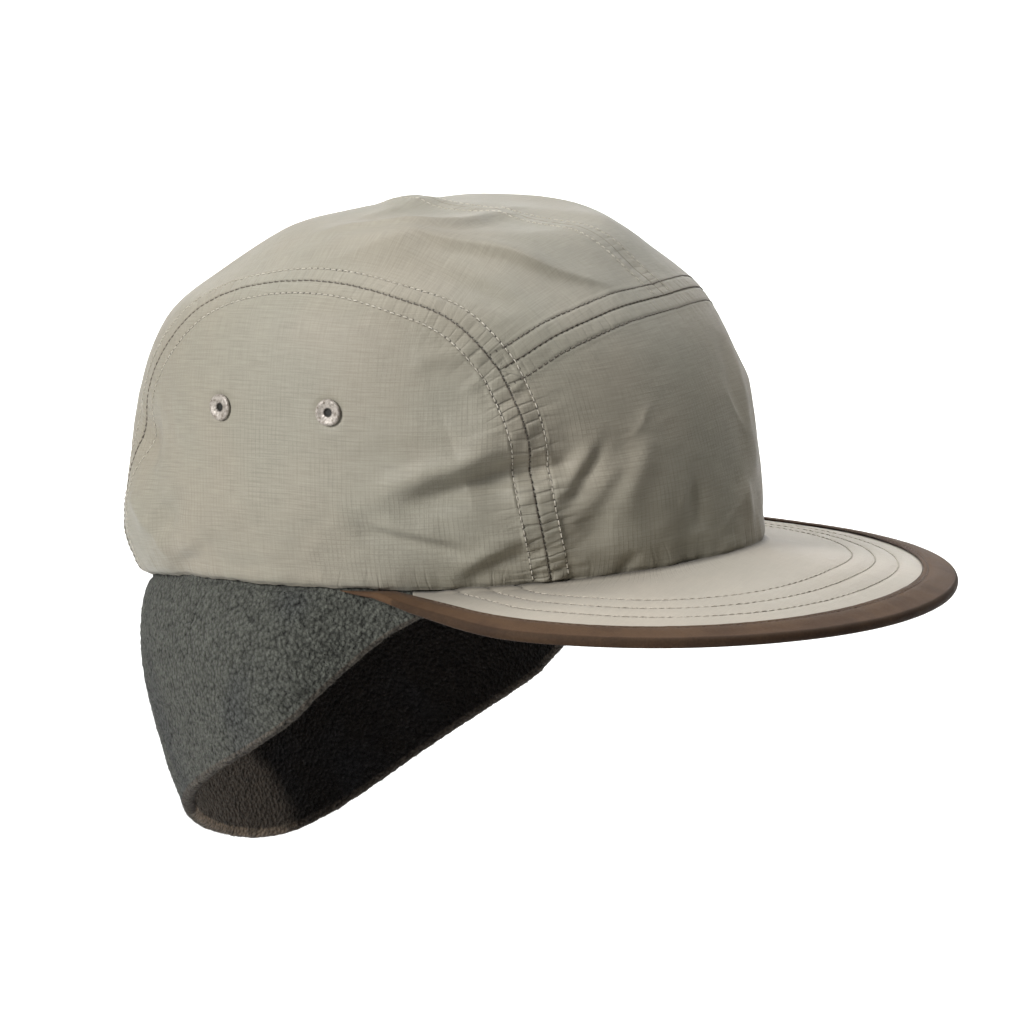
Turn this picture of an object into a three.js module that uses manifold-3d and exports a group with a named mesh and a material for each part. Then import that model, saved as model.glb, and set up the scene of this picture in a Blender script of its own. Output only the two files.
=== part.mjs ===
// A five-panel cap with a flat duckbill visor and a fleece ear and neck flap
// that hangs below the rim, as worn. Millimetres, +Z up, the visor points to -Y,
// the wearer's right is -X. The origin is the centre of the rim's opening.
import * as THREE from 'three';
import { mergeVertices } from 'three/addons/utils/BufferGeometryUtils.js';
import Module from 'manifold-3d';

const wasm = await Module();
wasm.setup();

// ---------------------------------------------------------------- dimensions
const CLOTH = 1.2; // wall of the crown panels
const SEAM_GAP = 0.5; // clear gap between neighbouring panels
const FIT_GAP = 0.35; // clear gap between stacked pieces
const BRIM_THICK = 1.7; // visor board with its cloth
const BRIM_TUCK = 1.1; // how far the visor reaches in under the crown wall
const BRIM_BOW = 1.2; // how much the visor arches between rim and edge
const TAPE_WIDTH = 12.1; // binding on the visor's edge, each face
const TAPE_THICK = 0.7;
const FLEECE = 4.0; // fleece of the ear flap
const FLAP_TUCK = 15; // how far the flap is sewn up inside the crown
const EYELET_HOLE = 1.2; // radii of the eyelets
const EYELET_BARREL = 2.6;
const EYELET_FLANGE = 4.0;

// Angles go round the crown in degrees: 0 front, 90 the wearer's right (-X), 180 back.
// Levels go up the crown: 0 at the rim, 1 at the top.

// One row per loop of the crown: where it crosses the front, the back and the
// sides, its height there, where it is widest, and how square it is.
const CROWN = [
  // level, front, back, half, zFront, zSide, zBack, widest, squareFront, squareBack
  [0.0, -101.3, 101.3, 79.2, 9.1, 0.0, -16.4, 11.3, 1.7, 2.01],
  [0.14, -97.0, 106.9, 84.7, 27.9, 18.2, -1.5, 9.4, 1.92, 2.05],
  [0.28, -92.6, 103.6, 85.4, 46.4, 39.6, 21.0, 9.4, 1.97, 2.1],
  [0.42, -86.1, 99.4, 84.1, 63.1, 61.6, 43.9, 9.4, 2.03, 2.15],
  [0.56, -74.9, 90.4, 78.8, 78.6, 83.1, 66.8, 9.4, 2.08, 2.15],
  [0.7, -59.0, 75.1, 64.6, 91.9, 94.4, 81.4, 8.8, 2.1, 2.15],
  [0.82, -41.0, 54.8, 47.5, 102.1, 103.6, 96.0, 8.3, 2.1, 2.1],
  [0.92, -17.7, 32.3, 25.1, 103.1, 106.5, 106.0, 8.3, 2.05, 2.05],
  [1.0, 5.8, 5.8, 0.0, 107.9, 107.9, 107.9, 5.8, 2.0, 2.0],
];
const HEM = [
  // angle, height of the rim
  [0, 9.1], [25, 6.6], [45, 3.7], [65, 1.0], [85, 0], [115, -2.6], [145, -9.0], [180, -16.4],
];
// Seams, one row per point: level, angle.
const SEAM_FRONT_SIDE = [
  [0, 47.3], [0.1, 48.0], [0.2, 48.7], [0.3, 48.8], [0.4, 50.4], [0.455, 52.0],
];
const SEAM_FRONT_TOP = [
  [0.455, 52.0], [0.477, 47.7], [0.52, 39.6], [0.551, 31.8], [0.58, 22.5], [0.598, 11.5], [0.602, 0],
];
const SEAM_ARCH_FORE = [
  [0.455, 52.0], [0.52, 56.3], [0.556, 59.9], [0.581, 64.0], [0.605, 70.4], [0.625, 76.4],
  [0.644, 85.7], [0.644, 94.1], [0.636, 100.6], [0.611, 110.5], [0.575, 118.5],
];
const SEAM_ARCH_AFT = [
  [0.575, 118.5], [0.52, 126.0], [0.461, 132.2], [0.4, 135.9], [0.3, 139.5], [0.2, 142.5], [0.1, 144.6], [0, 146.0],
];
// Main folds and dents, one row per fold: level and angle of both ends, half
// width, and height above (or depth below) the smooth crown.
const FOLDS = [
  // level, angle, level, angle, width, height
  [0.762, 94, 0.789, 74.4, 7, 1.1],
  [0.789, 74.4, 0.914, 15, 7, 1.2],
  [0.789, 74.4, 0.729, 39.1, 7, 1.0],
  [0.729, 39.1, 0.657, 19.1, 7, 0.8],
  [0.848, 130, 0.968, -163, 8, 0.9],
  [0.968, -163, 0.827, -26, 8, 0.9],
  [0.325, 133, 0.301, 123, 8, -2.2],
  [0.199, 137.8, 0.199, 130, 12, 1.6],
  [0.277, 129.8, 0.173, 122.3, 5, -1.2],
  [0.173, 122.3, 0.05, 120.6, 5, -1.0],
  [0.226, 64.6, 0.199, 54.8, 5, -1.4],
  [0.149, 76.5, 0.114, 64.8, 5, -1.2],
  [0.306, 43.1, 0.132, 38.0, 5, -1.2],
  [0.12, 20.1, 0.0, 21.8, 4, -0.9],
  [0.342, -22, 0.22, -8.8, 6, 1.1],
  [0.57, -104, 0.51, -76, 6, -1.3],
  [0.25, -118, 0.12, -103, 6, -1.2],
  [0.2, -66, 0.16, -54, 5, -1.2],
  [0.33, -150, 0.12, -143, 7, -1.5],
  [0.8, -105, 0.74, -62, 7, 1.0],
  [0.36, 168, 0.2, -174, 8, -1.5],
  [0.55, -176, 0.42, 166, 9, 1.2],
];
// One row per line across the visor: its outer end as a direction and reach
// about a point on the middle line, the height there, and its inner end on the rim.
const BRIM_CENTRE_Y = -68.6;
const BRIM = [
  // direction, reach, z, rimAngle
  [0, 90.3, -4.8, 0],
  [18, 91.0, -4.7, 16.5],
  [36, 92.6, -4.4, 31],
  [54, 94.2, -4.3, 42.5],
  [72, 95.3, -4.3, 50],
  [90, 96.2, -4.2, 56],
  [104, 95.6, -2.8, 63.5],
];
const BRIM_END_ANGLE = 77; // where the visor runs out under the rim
// One row per section of the ear flap: its lower edge's height, how far that
// edge stands out from the rim, and how far the cloth swells between.
const FLAP = [
  // angle (on past the back, 180, to the wearer's left), zEdge, flare, swell
  [56, -3, -2.5, 0],
  [68, -9, -2.3, 0],
  [77, -20, -1.9, 0.3],
  [88, -37, 3.6, 3.2],
  [113, -62.5, 1.3, 4.8],
  [146, -85, -9.1, 6.2],
  [180, -103.5, -10.6, 7.4],
  [214, -108.5, -9.1, 6.2],
  [247, -84, 1.3, 4.8],
  [272, -55.5, 3.6, 3.2],
  [283, -40.5, -1.9, 0.3],
  [292, -27.5, -2.3, 0],
  [304, -9, -2.5, 0],
];
// The eyelets of one side: level, angle.
const EYELETS = { front: [0.373, 83.7], rear: [0.372, 105.9] };

const COLOURS = {
  crown: 0xb0a89b, visor: 0xbdb5a7, tape: 0x674f42, fleece: 0x53544e, enamel: 0xb3ab9c,
};

// ------------------------------------------------------------------- helpers
const RAD = Math.PI / 180;
const mix = (a, b, t) => a + (b - a) * t;
const clamp = (x, a, b) => Math.min(b, Math.max(a, x));

// Cubic spline through (xs, ys); flat ends have zero slope, others no curvature.
function spline(xs, ys, flatStart = false, flatEnd = false) {
  const n = xs.length, h = [], a = [], b = [], c = [], d = [];
  for (let i = 0; i < n - 1; i++) h.push(xs[i + 1] - xs[i]);
  for (let i = 0; i < n; i++) {
    if (i === 0) {
      a.push(0); b.push(flatStart ? 2 : 1); c.push(flatStart ? 1 : 0);
      d.push(flatStart ? 6 * (ys[1] - ys[0]) / h[0] ** 2 : 0);
    } else if (i === n - 1) {
      a.push(flatEnd ? 1 : 0); b.push(flatEnd ? 2 : 1); c.push(0);
      d.push(flatEnd ? -6 * (ys[n - 1] - ys[n - 2]) / h[n - 2] ** 2 : 0);
    } else {
      const s = h[i - 1] + h[i];
      a.push(h[i - 1] / s); b.push(2); c.push(h[i] / s);
      d.push(6 * ((ys[i + 1] - ys[i]) / h[i] - (ys[i] - ys[i - 1]) / h[i - 1]) / s);
    }
  }
  for (let i = 1; i < n; i++) {
    const w = a[i] / b[i - 1];
    b[i] -= w * c[i - 1];
    d[i] -= w * d[i - 1];
  }
  const m = new Array(n);
  m[n - 1] = d[n - 1] / b[n - 1];
  for (let i = n - 2; i >= 0; i--) m[i] = (d[i] - c[i] * m[i + 1]) / b[i];
  return (x) => {
    let i = 0;
    while (i < n - 2 && x > xs[i + 1]) i++;
    const t = x - xs[i], k = h[i];
    return ys[i] + t * ((ys[i + 1] - ys[i]) / k - k * (2 * m[i] + m[i + 1]) / 6
      + t * (m[i] / 2 + t * (m[i + 1] - m[i]) / (6 * k)));
  };
}
const column = (rows, i) => rows.map((r) => r[i]);

// ---------------------------------------------------------------- the crown
const LEVELS = column(CROWN, 0);
const [cFront, cBack, cHalf, cZFront, cZSide, cZBack, cWidest, cSqF, cSqB] =
  [1, 2, 3, 4, 5, 6, 7, 8, 9].map((i) => spline(LEVELS, column(CROWN, i)));
const hemZ = spline(column(HEM, 0), column(HEM, 1), true, true);
const power = (x, n) => Math.max(Math.abs(x), 1e-12) ** (2 / n);

function smoothCrown(level, angle) {
  const s = Math.sin(angle * RAD), c = Math.cos(angle * RAD);
  const fore = c > 0, n = fore ? cSqF(level) : cSqB(level), mid = cWidest(level);
  const x = -cHalf(level) * Math.sign(s) * power(s, n);
  const y = mid + (fore ? cFront(level) - mid : cBack(level) - mid) * power(c, n);
  const zs = cZSide(level);
  let z = zs + ((fore ? cZFront(level) : cZBack(level)) - zs) * c * c;
  const k = clamp(1 - level / 0.28, 0, 1);
  const flat = CROWN[0][5] + ((fore ? CROWN[0][4] : CROWN[0][6]) - CROWN[0][5]) * c * c;
  let turn = Math.abs(angle) % 360;
  if (turn > 180) turn = 360 - turn;
  z += k * (hemZ(turn) - flat);
  return new THREE.Vector3(x, y, z);
}
// The crown is charted on a disc: the rim is its circle, the top its centre.
const chart = (level, angle) => [-(1 - level) * Math.sin(angle * RAD), -(1 - level) * Math.cos(angle * RAD)];
const smoothAt = (u, v) => smoothCrown(1 - Math.hypot(u, v), Math.atan2(-u, -v) / RAD);
function normalOf(surface, u, v, e = 2e-3) {
  const du = surface(u + e, v).sub(surface(u - e, v));
  const dv = surface(u, v + e).sub(surface(u, v - e));
  return du.cross(dv).normalize();
}
const folds = FOLDS.map(([l0, a0, l1, a1, width, height]) => ({
  line: new THREE.Line3(smoothCrown(l0, a0), smoothCrown(l1, a1)), width, height,
}));
const near = new THREE.Vector3();
function foldHeight(p) {
  let h = 0;
  for (const f of folds) {
    f.line.closestPointToPoint(p, true, near);
    h += f.height * Math.exp(-near.distanceToSquared(p) / (2 * f.width * f.width));
  }
  return h;
}
function crownAt(u, v) {
  const p = smoothAt(u, v);
  return p.addScaledVector(normalOf(smoothAt, u, v), foldHeight(p));
}

// A smooth line through chart points, from 0 to 1 by length.
function chartLine(rows) {
  const pts = rows.map(([level, angle]) => chart(level, angle));
  const at = [0];
  for (let i = 1; i < pts.length; i++) at.push(at[i - 1] + Math.hypot(pts[i][0] - pts[i - 1][0], pts[i][1] - pts[i - 1][1]));
  const total = at[at.length - 1], ts = at.map((x) => x / total);
  const fu = spline(ts, column(pts, 0)), fv = spline(ts, column(pts, 1));
  return (t) => [fu(t), fv(t)];
}
const rimLine = (a, b) => (t) => chart(0, mix(a, b, t));
const reversed = (line) => (t) => line(1 - t);
const mirrored = (line) => (t) => { const [u, v] = line(t); return [-u, v]; };

// A patch of the chart between four lines that meet at its corners.
function coons(bottom, top, left, right) {
  const p00 = bottom(0), p10 = bottom(1), p01 = top(0), p11 = top(1);
  return (s, t) => [0, 1].map((i) => mix(bottom(s)[i], top(s)[i], t) + mix(left(t)[i], right(t)[i], s)
    - mix(mix(p00[i], p10[i], s), mix(p01[i], p11[i], s), t));
}

// Keeps the positions only, merged, with the faces turned outwards.
function closed(geometry) {
  geometry.deleteAttribute('normal');
  geometry.deleteAttribute('uv');
  const g = mergeVertices(geometry, 1e-5);
  const p = g.attributes.position, ix = g.index.array;
  let volume = 0;
  const a = new THREE.Vector3(), b = new THREE.Vector3(), c = new THREE.Vector3();
  for (let i = 0; i < ix.length; i += 3) {
    a.fromBufferAttribute(p, ix[i]); b.fromBufferAttribute(p, ix[i + 1]); c.fromBufferAttribute(p, ix[i + 2]);
    volume += a.dot(b.cross(c));
  }
  if (volume < 0) for (let i = 0; i < ix.length; i += 3) [ix[i], ix[i + 1]] = [ix[i + 1], ix[i]];
  g.computeVertexNormals();
  return g;
}

// A cloth panel: a flat box of cells bent onto the crown, its outer face on the
// crown's surface and its inner face one cloth thickness inside.
function panel(patch, across, up) {
  const length = (a, b) => crownAt(...a).distanceTo(crownAt(...b));
  const es = SEAM_GAP / 2 / (length(patch(0, 0.5), patch(0.5, 0.5)) + length(patch(0.5, 0.5), patch(1, 0.5)));
  const et = SEAM_GAP / 2 / (length(patch(0.5, 0), patch(0.5, 0.5)) + length(patch(0.5, 0.5), patch(0.5, 1)));
  const box = new THREE.BoxGeometry(1, 1, 1, across, up, 1), p = box.attributes.position;
  for (let i = 0; i < p.count; i++) {
    const s = mix(es, 1 - es, p.getX(i) + 0.5), t = mix(et, 1 - et, p.getY(i) + 0.5);
    const [u, v] = patch(s, t);
    const q = crownAt(u, v).addScaledVector(normalOf(crownAt, u, v), -CLOTH * (0.5 - p.getZ(i)));
    p.setXYZ(i, q.x, q.y, q.z);
  }
  return closed(box);
}

// A solid through a row of closed sections. Point i of a section faces point
// count - 1 - i, so each end is closed by a strip.
function skin(sections) {
  const n = sections[0].length, xyz = [], ix = [];
  for (const s of sections) for (const q of s) xyz.push(q.x, q.y, q.z);
  for (let k = 0; k < sections.length - 1; k++) {
    for (let i = 0; i < n; i++) {
      const a = k * n + i, b = k * n + (i + 1) % n, c = a + n, d = b + n;
      ix.push(a, b, d, a, d, c);
    }
  }
  for (const [o, flip] of [[0, true], [(sections.length - 1) * n, false]]) {
    for (let i = 0; i < n / 2 - 1; i++) {
      const a = o + i, b = o + i + 1, c = o + n - 2 - i, d = o + n - 1 - i;
      if (flip) ix.push(a, c, b, a, d, c);
      else ix.push(a, b, c, a, c, d);
    }
  }
  const g = new THREE.BufferGeometry();
  g.setAttribute('position', new THREE.Float32BufferAttribute(xyz, 3));
  g.setIndex(ix);
  return closed(g);
}

// ---------------------------------------------------------------- the visor
const rimAt = (angle) => smoothCrown(0, angle);
function rimOut(angle) {
  // the horizontal direction that points away from the head, square to the rim
  const t = rimAt(angle + 0.5).sub(rimAt(angle - 0.5));
  return new THREE.Vector3(-t.y, t.x, 0).normalize();
}
const brimRows = BRIM.map(([direction, reach, z, rimAngle]) => ({
  x: -reach * Math.sin(direction * RAD), y: BRIM_CENTRE_Y - reach * Math.cos(direction * RAD), z, rimAngle,
}));
{
  const end = rimAt(BRIM_END_ANGLE);
  brimRows.push({ x: end.x, y: end.y, z: end.z - 1.5, rimAngle: BRIM_END_ANGLE });
}
const brimIndex = [];
for (let i = -(brimRows.length - 1); i <= brimRows.length - 1; i++) brimIndex.push(i);
const brimSpline = (key, odd) => spline(brimIndex, brimIndex.map((i) => (odd && i < 0 ? -1 : 1) * brimRows[Math.abs(i)][key]));
const [brimX, brimY, brimZ, brimRim] = [brimSpline('x', true), brimSpline('y'), brimSpline('z'), brimSpline('rimAngle', true)];
const BRIM_LAST = brimRows.length - 1 - 0.12;
// Inner and outer end of the line across the visor at k, in its middle plane.
function brimEnds(k) {
  const angle = brimRim(k), rim = rimAt(angle);
  const inner = rim.addScaledVector(rimOut(angle), -BRIM_TUCK);
  inner.z -= FIT_GAP + BRIM_THICK / 2;
  return [inner, new THREE.Vector3(brimX(k), brimY(k), brimZ(k))];
}
function brimMid(k, fromEdge) {
  // a point of the middle plane, at a distance in from the outer edge
  const [inner, outer] = brimEnds(k), length = outer.distanceTo(inner);
  const t = fromEdge / length;
  const q = outer.clone().lerp(inner, t);
  q.z += BRIM_BOW * 4 * t * (1 - t) * clamp(length / 40, 0, 1);
  return q;
}
const brimStations = [];
const BRIM_SECTIONS = 44;
for (let i = 0; i <= BRIM_SECTIONS; i++) brimStations.push(mix(-BRIM_LAST, BRIM_LAST, i / BRIM_SECTIONS));
const up = (q, h) => new THREE.Vector3(q.x, q.y, q.z + h);

function brimSolid() {
  const cells = 7, inset = TAPE_THICK + FIT_GAP;
  return skin(brimStations.map((k) => {
    const [inner, outer] = brimEnds(k), length = outer.distanceTo(inner);
    const ring = [];
    for (let j = 0; j <= cells; j++) ring.push(brimMid(k, mix(length, Math.min(inset, length - 0.6), j / cells)));
    return [...ring.map((q) => up(q, BRIM_THICK / 2)), ...ring.reverse().map((q) => up(q, -BRIM_THICK / 2))];
  }));
}
function tapeSolid() {
  const cells = 4, hollow = BRIM_THICK / 2 + FIT_GAP, round = 3;
  return skin(brimStations.map((k) => {
    const [inner, outer] = brimEnds(k), length = outer.distanceTo(inner);
    const width = Math.min(TAPE_WIDTH, length - BRIM_TUCK - CLOTH - 0.8);
    const path = []; // from the upper edge of the tape round to the lower one, as inset, height, outward
    for (let j = 0; j <= cells; j++) path.push([mix(width, TAPE_THICK + hollow * 0.5, j / cells), 1]);
    const top = path.map(([d]) => [d, hollow]), low = path.map(([d]) => [d, -hollow]).reverse();
    const bend = [];
    for (let j = 1; j <= round; j++) {
      const a = mix(90, -90, j / (round + 1)) * RAD;
      bend.push([TAPE_THICK + hollow * 0.5 * (1 - Math.cos(a)), hollow * Math.sin(a)]);
    }
    const inside = [...top, ...bend, ...low];
    const outside = inside.map(([d, h], i) => {
      if (i < top.length) return [d, h + TAPE_THICK];
      if (i >= inside.length - low.length) return [d, h - TAPE_THICK];
      const a = mix(90, -90, (i - top.length + 1) / (round + 1)) * RAD;
      return [TAPE_THICK + hollow * 0.5 - (hollow * 0.5 + TAPE_THICK) * Math.cos(a), (hollow + TAPE_THICK) * Math.sin(a)];
    });
    const place = ([d, h]) => up(brimMid(k, Math.min(d, length - 0.2)), h);
    return [...outside.map(place), ...inside.reverse().map(place)];
  }));
}

// --------------------------------------------------------------- the ear flap
const [flapEdge, flapFlare, flapSwell] = [1, 2, 3].map((i) => spline(column(FLAP, 0), column(FLAP, i)));
function flapSection(turn) {
  const rim = rimAt(turn), out = rimOut(turn);
  const edge = flapEdge(turn) + FLEECE / 2, flare = flapFlare(turn), swell = Math.max(0, flapSwell(turn));
  const start = -CLOTH - FIT_GAP - FLEECE / 2; // the middle of the fleece where it leaves the rim
  const tuckedTo = Math.max(rim.z + FLAP_TUCK, 4);
  const at = (s) => {
    if (s <= 0) return [start, mix(rim.z - 1, tuckedTo, -s)];
    return [mix(start, flare - FLEECE / 2, s) + swell * Math.sin(Math.PI * s ** 0.7), mix(rim.z - 1, Math.min(edge, rim.z - 2.5), s)];
  };
  const stops = [-1, -0.5, 0, 0.06, 0.16, 0.3, 0.45, 0.6, 0.75, 0.88, 1];
  const outer = [], inner = [], half = FLEECE / 2;
  let last;
  for (const s of stops) {
    const [o, z] = at(s), [o1, z1] = at(s + 0.01), [o0, z0] = at(s - 0.01);
    const l = Math.hypot(o1 - o0, z1 - z0), no = -(z1 - z0) / l, nz = (o1 - o0) / l;
    const calm = s <= 0 ? [1, 0] : [no, nz];
    outer.push([o + calm[0] * half, z + calm[1] * half]);
    inner.push([o - calm[0] * half, z - calm[1] * half]);
    last = { o, z, no, nz };
  }
  const lip = [];
  for (const a of [54, 18, -18, -54]) {
    const c = Math.cos((90 - a) * RAD), s = Math.sin((90 - a) * RAD);
    lip.push([last.o + half * (last.no * c + last.nz * s), last.z + half * (last.nz * c - last.no * s)]);
  }
  const ring = [...outer, ...lip, ...inner.reverse()];
  return ring.map(([o, z]) => new THREE.Vector3(rim.x + out.x * o, rim.y + out.y * o, z));
}
function flapSolid() {
  const sections = [], first = FLAP[0][0], count = 48;
  for (let i = 0; i <= count; i++) {
    sections.push(flapSection(mix(first, 360 - first, i / count)));
  }
  return skin(sections);
}

// ------------------------------------------------------------------ eyelets
const EYELET_PROFILE = [
  // radius, height over the cloth
  [EYELET_HOLE, 0.75], [2.1, 1.15], [3.3, 1.0], [EYELET_FLANGE, 0.4], [EYELET_BARREL, FIT_GAP],
  [EYELET_BARREL, -CLOTH - FIT_GAP], [3.6, -CLOTH - FIT_GAP], [3.6, -CLOTH - FIT_GAP - 0.5],
  [EYELET_HOLE, -CLOTH - FIT_GAP - 0.5], [EYELET_HOLE, 0.75],
];
const UP = new THREE.Vector3(0, 1, 0);
function eyeletPlace([level, angle]) {
  const [u, v] = chart(level, angle);
  return [crownAt(u, v), normalOf(crownAt, u, v)];
}
function toManifold(g) {
  return new wasm.Manifold(new wasm.Mesh({
    numProp: 3, vertProperties: Float32Array.from(g.attributes.position.array), triVerts: Uint32Array.from(g.index.array),
  }));
}
function fromManifold(m) {
  const mesh = m.getMesh(), g = new THREE.BufferGeometry();
  g.setAttribute('position', new THREE.Float32BufferAttribute(Array.from(mesh.vertProperties), 3));
  g.setIndex(Array.from(mesh.triVerts));
  return closed(g);
}
function drilled(geometry, places) {
  let solid = toManifold(geometry);
  for (const [point, normal] of places) {
    const drill = new THREE.CylinderGeometry(EYELET_BARREL + FIT_GAP, EYELET_BARREL + FIT_GAP, 10, 16);
    drill.applyQuaternion(new THREE.Quaternion().setFromUnitVectors(UP, normal));
    drill.translate(point.x, point.y, point.z);
    solid = solid.subtract(toManifold(closed(drill)));
  }
  return fromManifold(solid);
}

// ----------------------------------------------------------------- assembly
const material = (color, roughness, metalness = 0) => new THREE.MeshStandardMaterial({ color, roughness, metalness });
const group = new THREE.Group();
function add(name, geometry, mat) {
  const mesh = new THREE.Mesh(geometry, mat);
  mesh.name = name;
  group.add(mesh);
  return mesh;
}

const frontSide = chartLine(SEAM_FRONT_SIDE), frontTop = chartLine(SEAM_FRONT_TOP);
const archFore = chartLine(SEAM_ARCH_FORE), archAft = chartLine(SEAM_ARCH_AFT);
const arch = chartLine([...SEAM_ARCH_FORE, ...SEAM_ARCH_AFT.slice(1)]);
const rimFront = SEAM_FRONT_SIDE[0][1], rimBack = SEAM_ARCH_AFT.at(-1)[1];
const topFront = chart(...SEAM_FRONT_TOP.at(-1)), rimMid = chart(0, 180);
const middle = (t) => [mix(topFront[0], rimMid[0], t), mix(topFront[1], rimMid[1], t)];
const frontTopWhole = (t) => (t < 0.5 ? frontTop(2 * t) : mirrored(frontTop)(2 - 2 * t));

add('front_panel', panel(coons(rimLine(rimFront, -rimFront), frontTopWhole, frontSide, mirrored(frontSide)), 16, 12), material(COLOURS.crown, 0.78));

const sidePatch = coons(rimLine(rimFront, rimBack), archFore, frontSide, reversed(archAft));
const topPatch = coons(reversed(frontTop), rimLine(180, rimBack), middle, arch);
const flip = (patch) => (s, t) => { const [u, v] = patch(s, t); return [-u, v]; };
const sides = [
  { side: 'right', of: (patch) => patch, sign: 1 },
  { side: 'left', of: flip, sign: -1 },
];
for (const { side, of, sign } of sides) {
  const places = Object.entries(EYELETS).map(([where, [level, angle]]) => [where, eyeletPlace([level, sign * angle])]);
  add(`side_panel_${side}`, drilled(panel(of(sidePatch), 17, 12), places.map(([, place]) => place)), material(COLOURS.crown, 0.78));
  add(`top_panel_${side}`, panel(of(topPatch), 8, 22), material(COLOURS.crown, 0.78));
  for (const [where, [point, normal]] of places) {
    const eyelet = add(`eyelet_${side}_${where}`,
      closed(new THREE.LatheGeometry(EYELET_PROFILE.map(([r, h]) => new THREE.Vector2(r, h)), 18)), material(COLOURS.enamel, 0.45, 0.1));
    eyelet.position.copy(point);
    eyelet.quaternion.setFromUnitVectors(UP, normal);
  }
}
add('brim', brimSolid(), material(COLOURS.visor, 0.8));
add('brim_binding', tapeSolid(), material(COLOURS.tape, 0.7));
add('ear_flap', flapSolid(), material(COLOURS.fleece, 0.95));

export default group;
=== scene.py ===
"""A five-panel ripstop cap with a bound duckbill visor and a fleece ear flap.

Lengths in the tables are millimetres; the meshes are made in metres. +Z is up,
the visor points to -Y and the wearer's right is -X. Angles go round the crown
in degrees: 0 front, 90 the wearer's right, 180 back. Levels go from the rim, 0,
to the top of the crown, 1.
"""
import math

import bpy
import numpy as np
from mathutils import Matrix, Vector


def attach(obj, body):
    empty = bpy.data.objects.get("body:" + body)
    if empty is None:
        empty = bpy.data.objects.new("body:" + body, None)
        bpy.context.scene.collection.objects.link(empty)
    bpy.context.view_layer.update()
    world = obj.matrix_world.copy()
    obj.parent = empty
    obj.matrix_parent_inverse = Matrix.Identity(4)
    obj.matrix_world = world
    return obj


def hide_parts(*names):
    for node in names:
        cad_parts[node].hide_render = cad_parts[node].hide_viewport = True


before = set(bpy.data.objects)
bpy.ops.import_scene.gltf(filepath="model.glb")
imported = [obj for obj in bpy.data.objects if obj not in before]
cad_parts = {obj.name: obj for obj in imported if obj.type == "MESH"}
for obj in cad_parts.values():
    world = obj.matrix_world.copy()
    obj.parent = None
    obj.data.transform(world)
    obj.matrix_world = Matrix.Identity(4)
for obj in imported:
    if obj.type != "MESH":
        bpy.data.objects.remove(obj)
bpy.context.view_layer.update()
MM = 0.001

# ------------------------------------------------------------ camera and stage
CAM_AZIMUTH, CAM_ELEVATION, CAM_DISTANCE, CAM_FOCAL_PX = -63.0, 10.6, 1352.0, 4333.7
CAM_ACROSS, CAM_UP = 16.79, 10.13  # where the view's middle passes the origin's plane
a, e = math.radians(CAM_AZIMUTH), math.radians(CAM_ELEVATION)
back = Vector((math.sin(a) * math.cos(e), -math.cos(a) * math.cos(e), math.sin(e)))
right = Vector((math.cos(a), math.sin(a), 0))
upward = back.cross(right)
camera_data = bpy.data.cameras.new("camera")
camera = bpy.data.objects.new("camera", camera_data)
bpy.context.scene.collection.objects.link(camera)
camera.matrix_world = Matrix.Translation((right * CAM_ACROSS + upward * CAM_UP + back * CAM_DISTANCE) * MM) @ \
    Matrix((right, upward, back)).transposed().to_4x4()
camera_data.sensor_width = 36
camera_data.lens = CAM_FOCAL_PX / 1024 * 36
camera_data.clip_start, camera_data.clip_end = 0.05, 60
bpy.context.scene.camera = camera

# ------------------------------------------------------------------ dimensions
CLOTH, FIT_GAP = 1.2, 0.35
BRIM_THICK, BRIM_TUCK, BRIM_BOW = 1.7, 1.1, 1.2
TAPE_WIDTH, TAPE_THICK = 11.2, 0.6
FLEECE, FLAP_TUCK = 4.0, 15.0
STITCH, THREAD = 2.05, 0.17  # pitch of the stitches and radius of the thread
ROW = 5.3  # topstitch rows lie this far from their seam
CROWN = [
    # level, front, back, half, zFront, zSide, zBack, widest, squareFront, squareBack
    [0.0, -101.3, 101.3, 79.2, 9.1, 0.0, -16.4, 11.3, 1.7, 2.01],
    [0.14, -97.0, 106.9, 84.7, 27.9, 18.2, -1.5, 9.4, 1.92, 2.05],
    [0.28, -92.6, 103.6, 85.4, 46.4, 39.6, 21.0, 9.4, 1.97, 2.1],
    [0.42, -86.1, 99.4, 84.1, 63.1, 61.6, 43.9, 9.4, 2.03, 2.15],
    [0.56, -74.9, 90.4, 78.8, 78.6, 83.1, 66.8, 9.4, 2.08, 2.15],
    [0.7, -59.0, 75.1, 64.6, 91.9, 94.4, 81.4, 8.8, 2.1, 2.15],
    [0.82, -41.0, 54.8, 47.5, 102.1, 103.6, 96.0, 8.3, 2.1, 2.1],
    [0.92, -17.7, 32.3, 25.1, 103.1, 106.5, 106.0, 8.3, 2.05, 2.05],
    [1.0, 5.8, 5.8, 0.0, 107.9, 107.9, 107.9, 5.8, 2.0, 2.0],
]
HEM = [[0, 9.1], [25, 6.6], [45, 3.7], [65, 1.0], [85, 0], [115, -2.6], [145, -9.0], [180, -16.4]]
SEAM_FRONT_SIDE = [[0, 47.3], [0.1, 48.0], [0.2, 48.7], [0.3, 48.8], [0.4, 50.4], [0.455, 52.0]]
SEAM_FRONT_TOP = [[0.455, 52.0], [0.477, 47.7], [0.52, 39.6], [0.551, 31.8], [0.58, 22.5], [0.598, 11.5], [0.602, 0]]
SEAM_ARCH_FORE = [[0.455, 52.0], [0.52, 56.3], [0.556, 59.9], [0.581, 64.0], [0.605, 70.4], [0.625, 76.4],
                  [0.644, 85.7], [0.644, 94.1], [0.636, 100.6], [0.611, 110.5], [0.575, 118.5]]
SEAM_ARCH_AFT = [[0.575, 118.5], [0.52, 126.0], [0.461, 132.2], [0.4, 135.9], [0.3, 139.5], [0.2, 142.5], [0.1, 144.6], [0, 146.0]]
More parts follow.
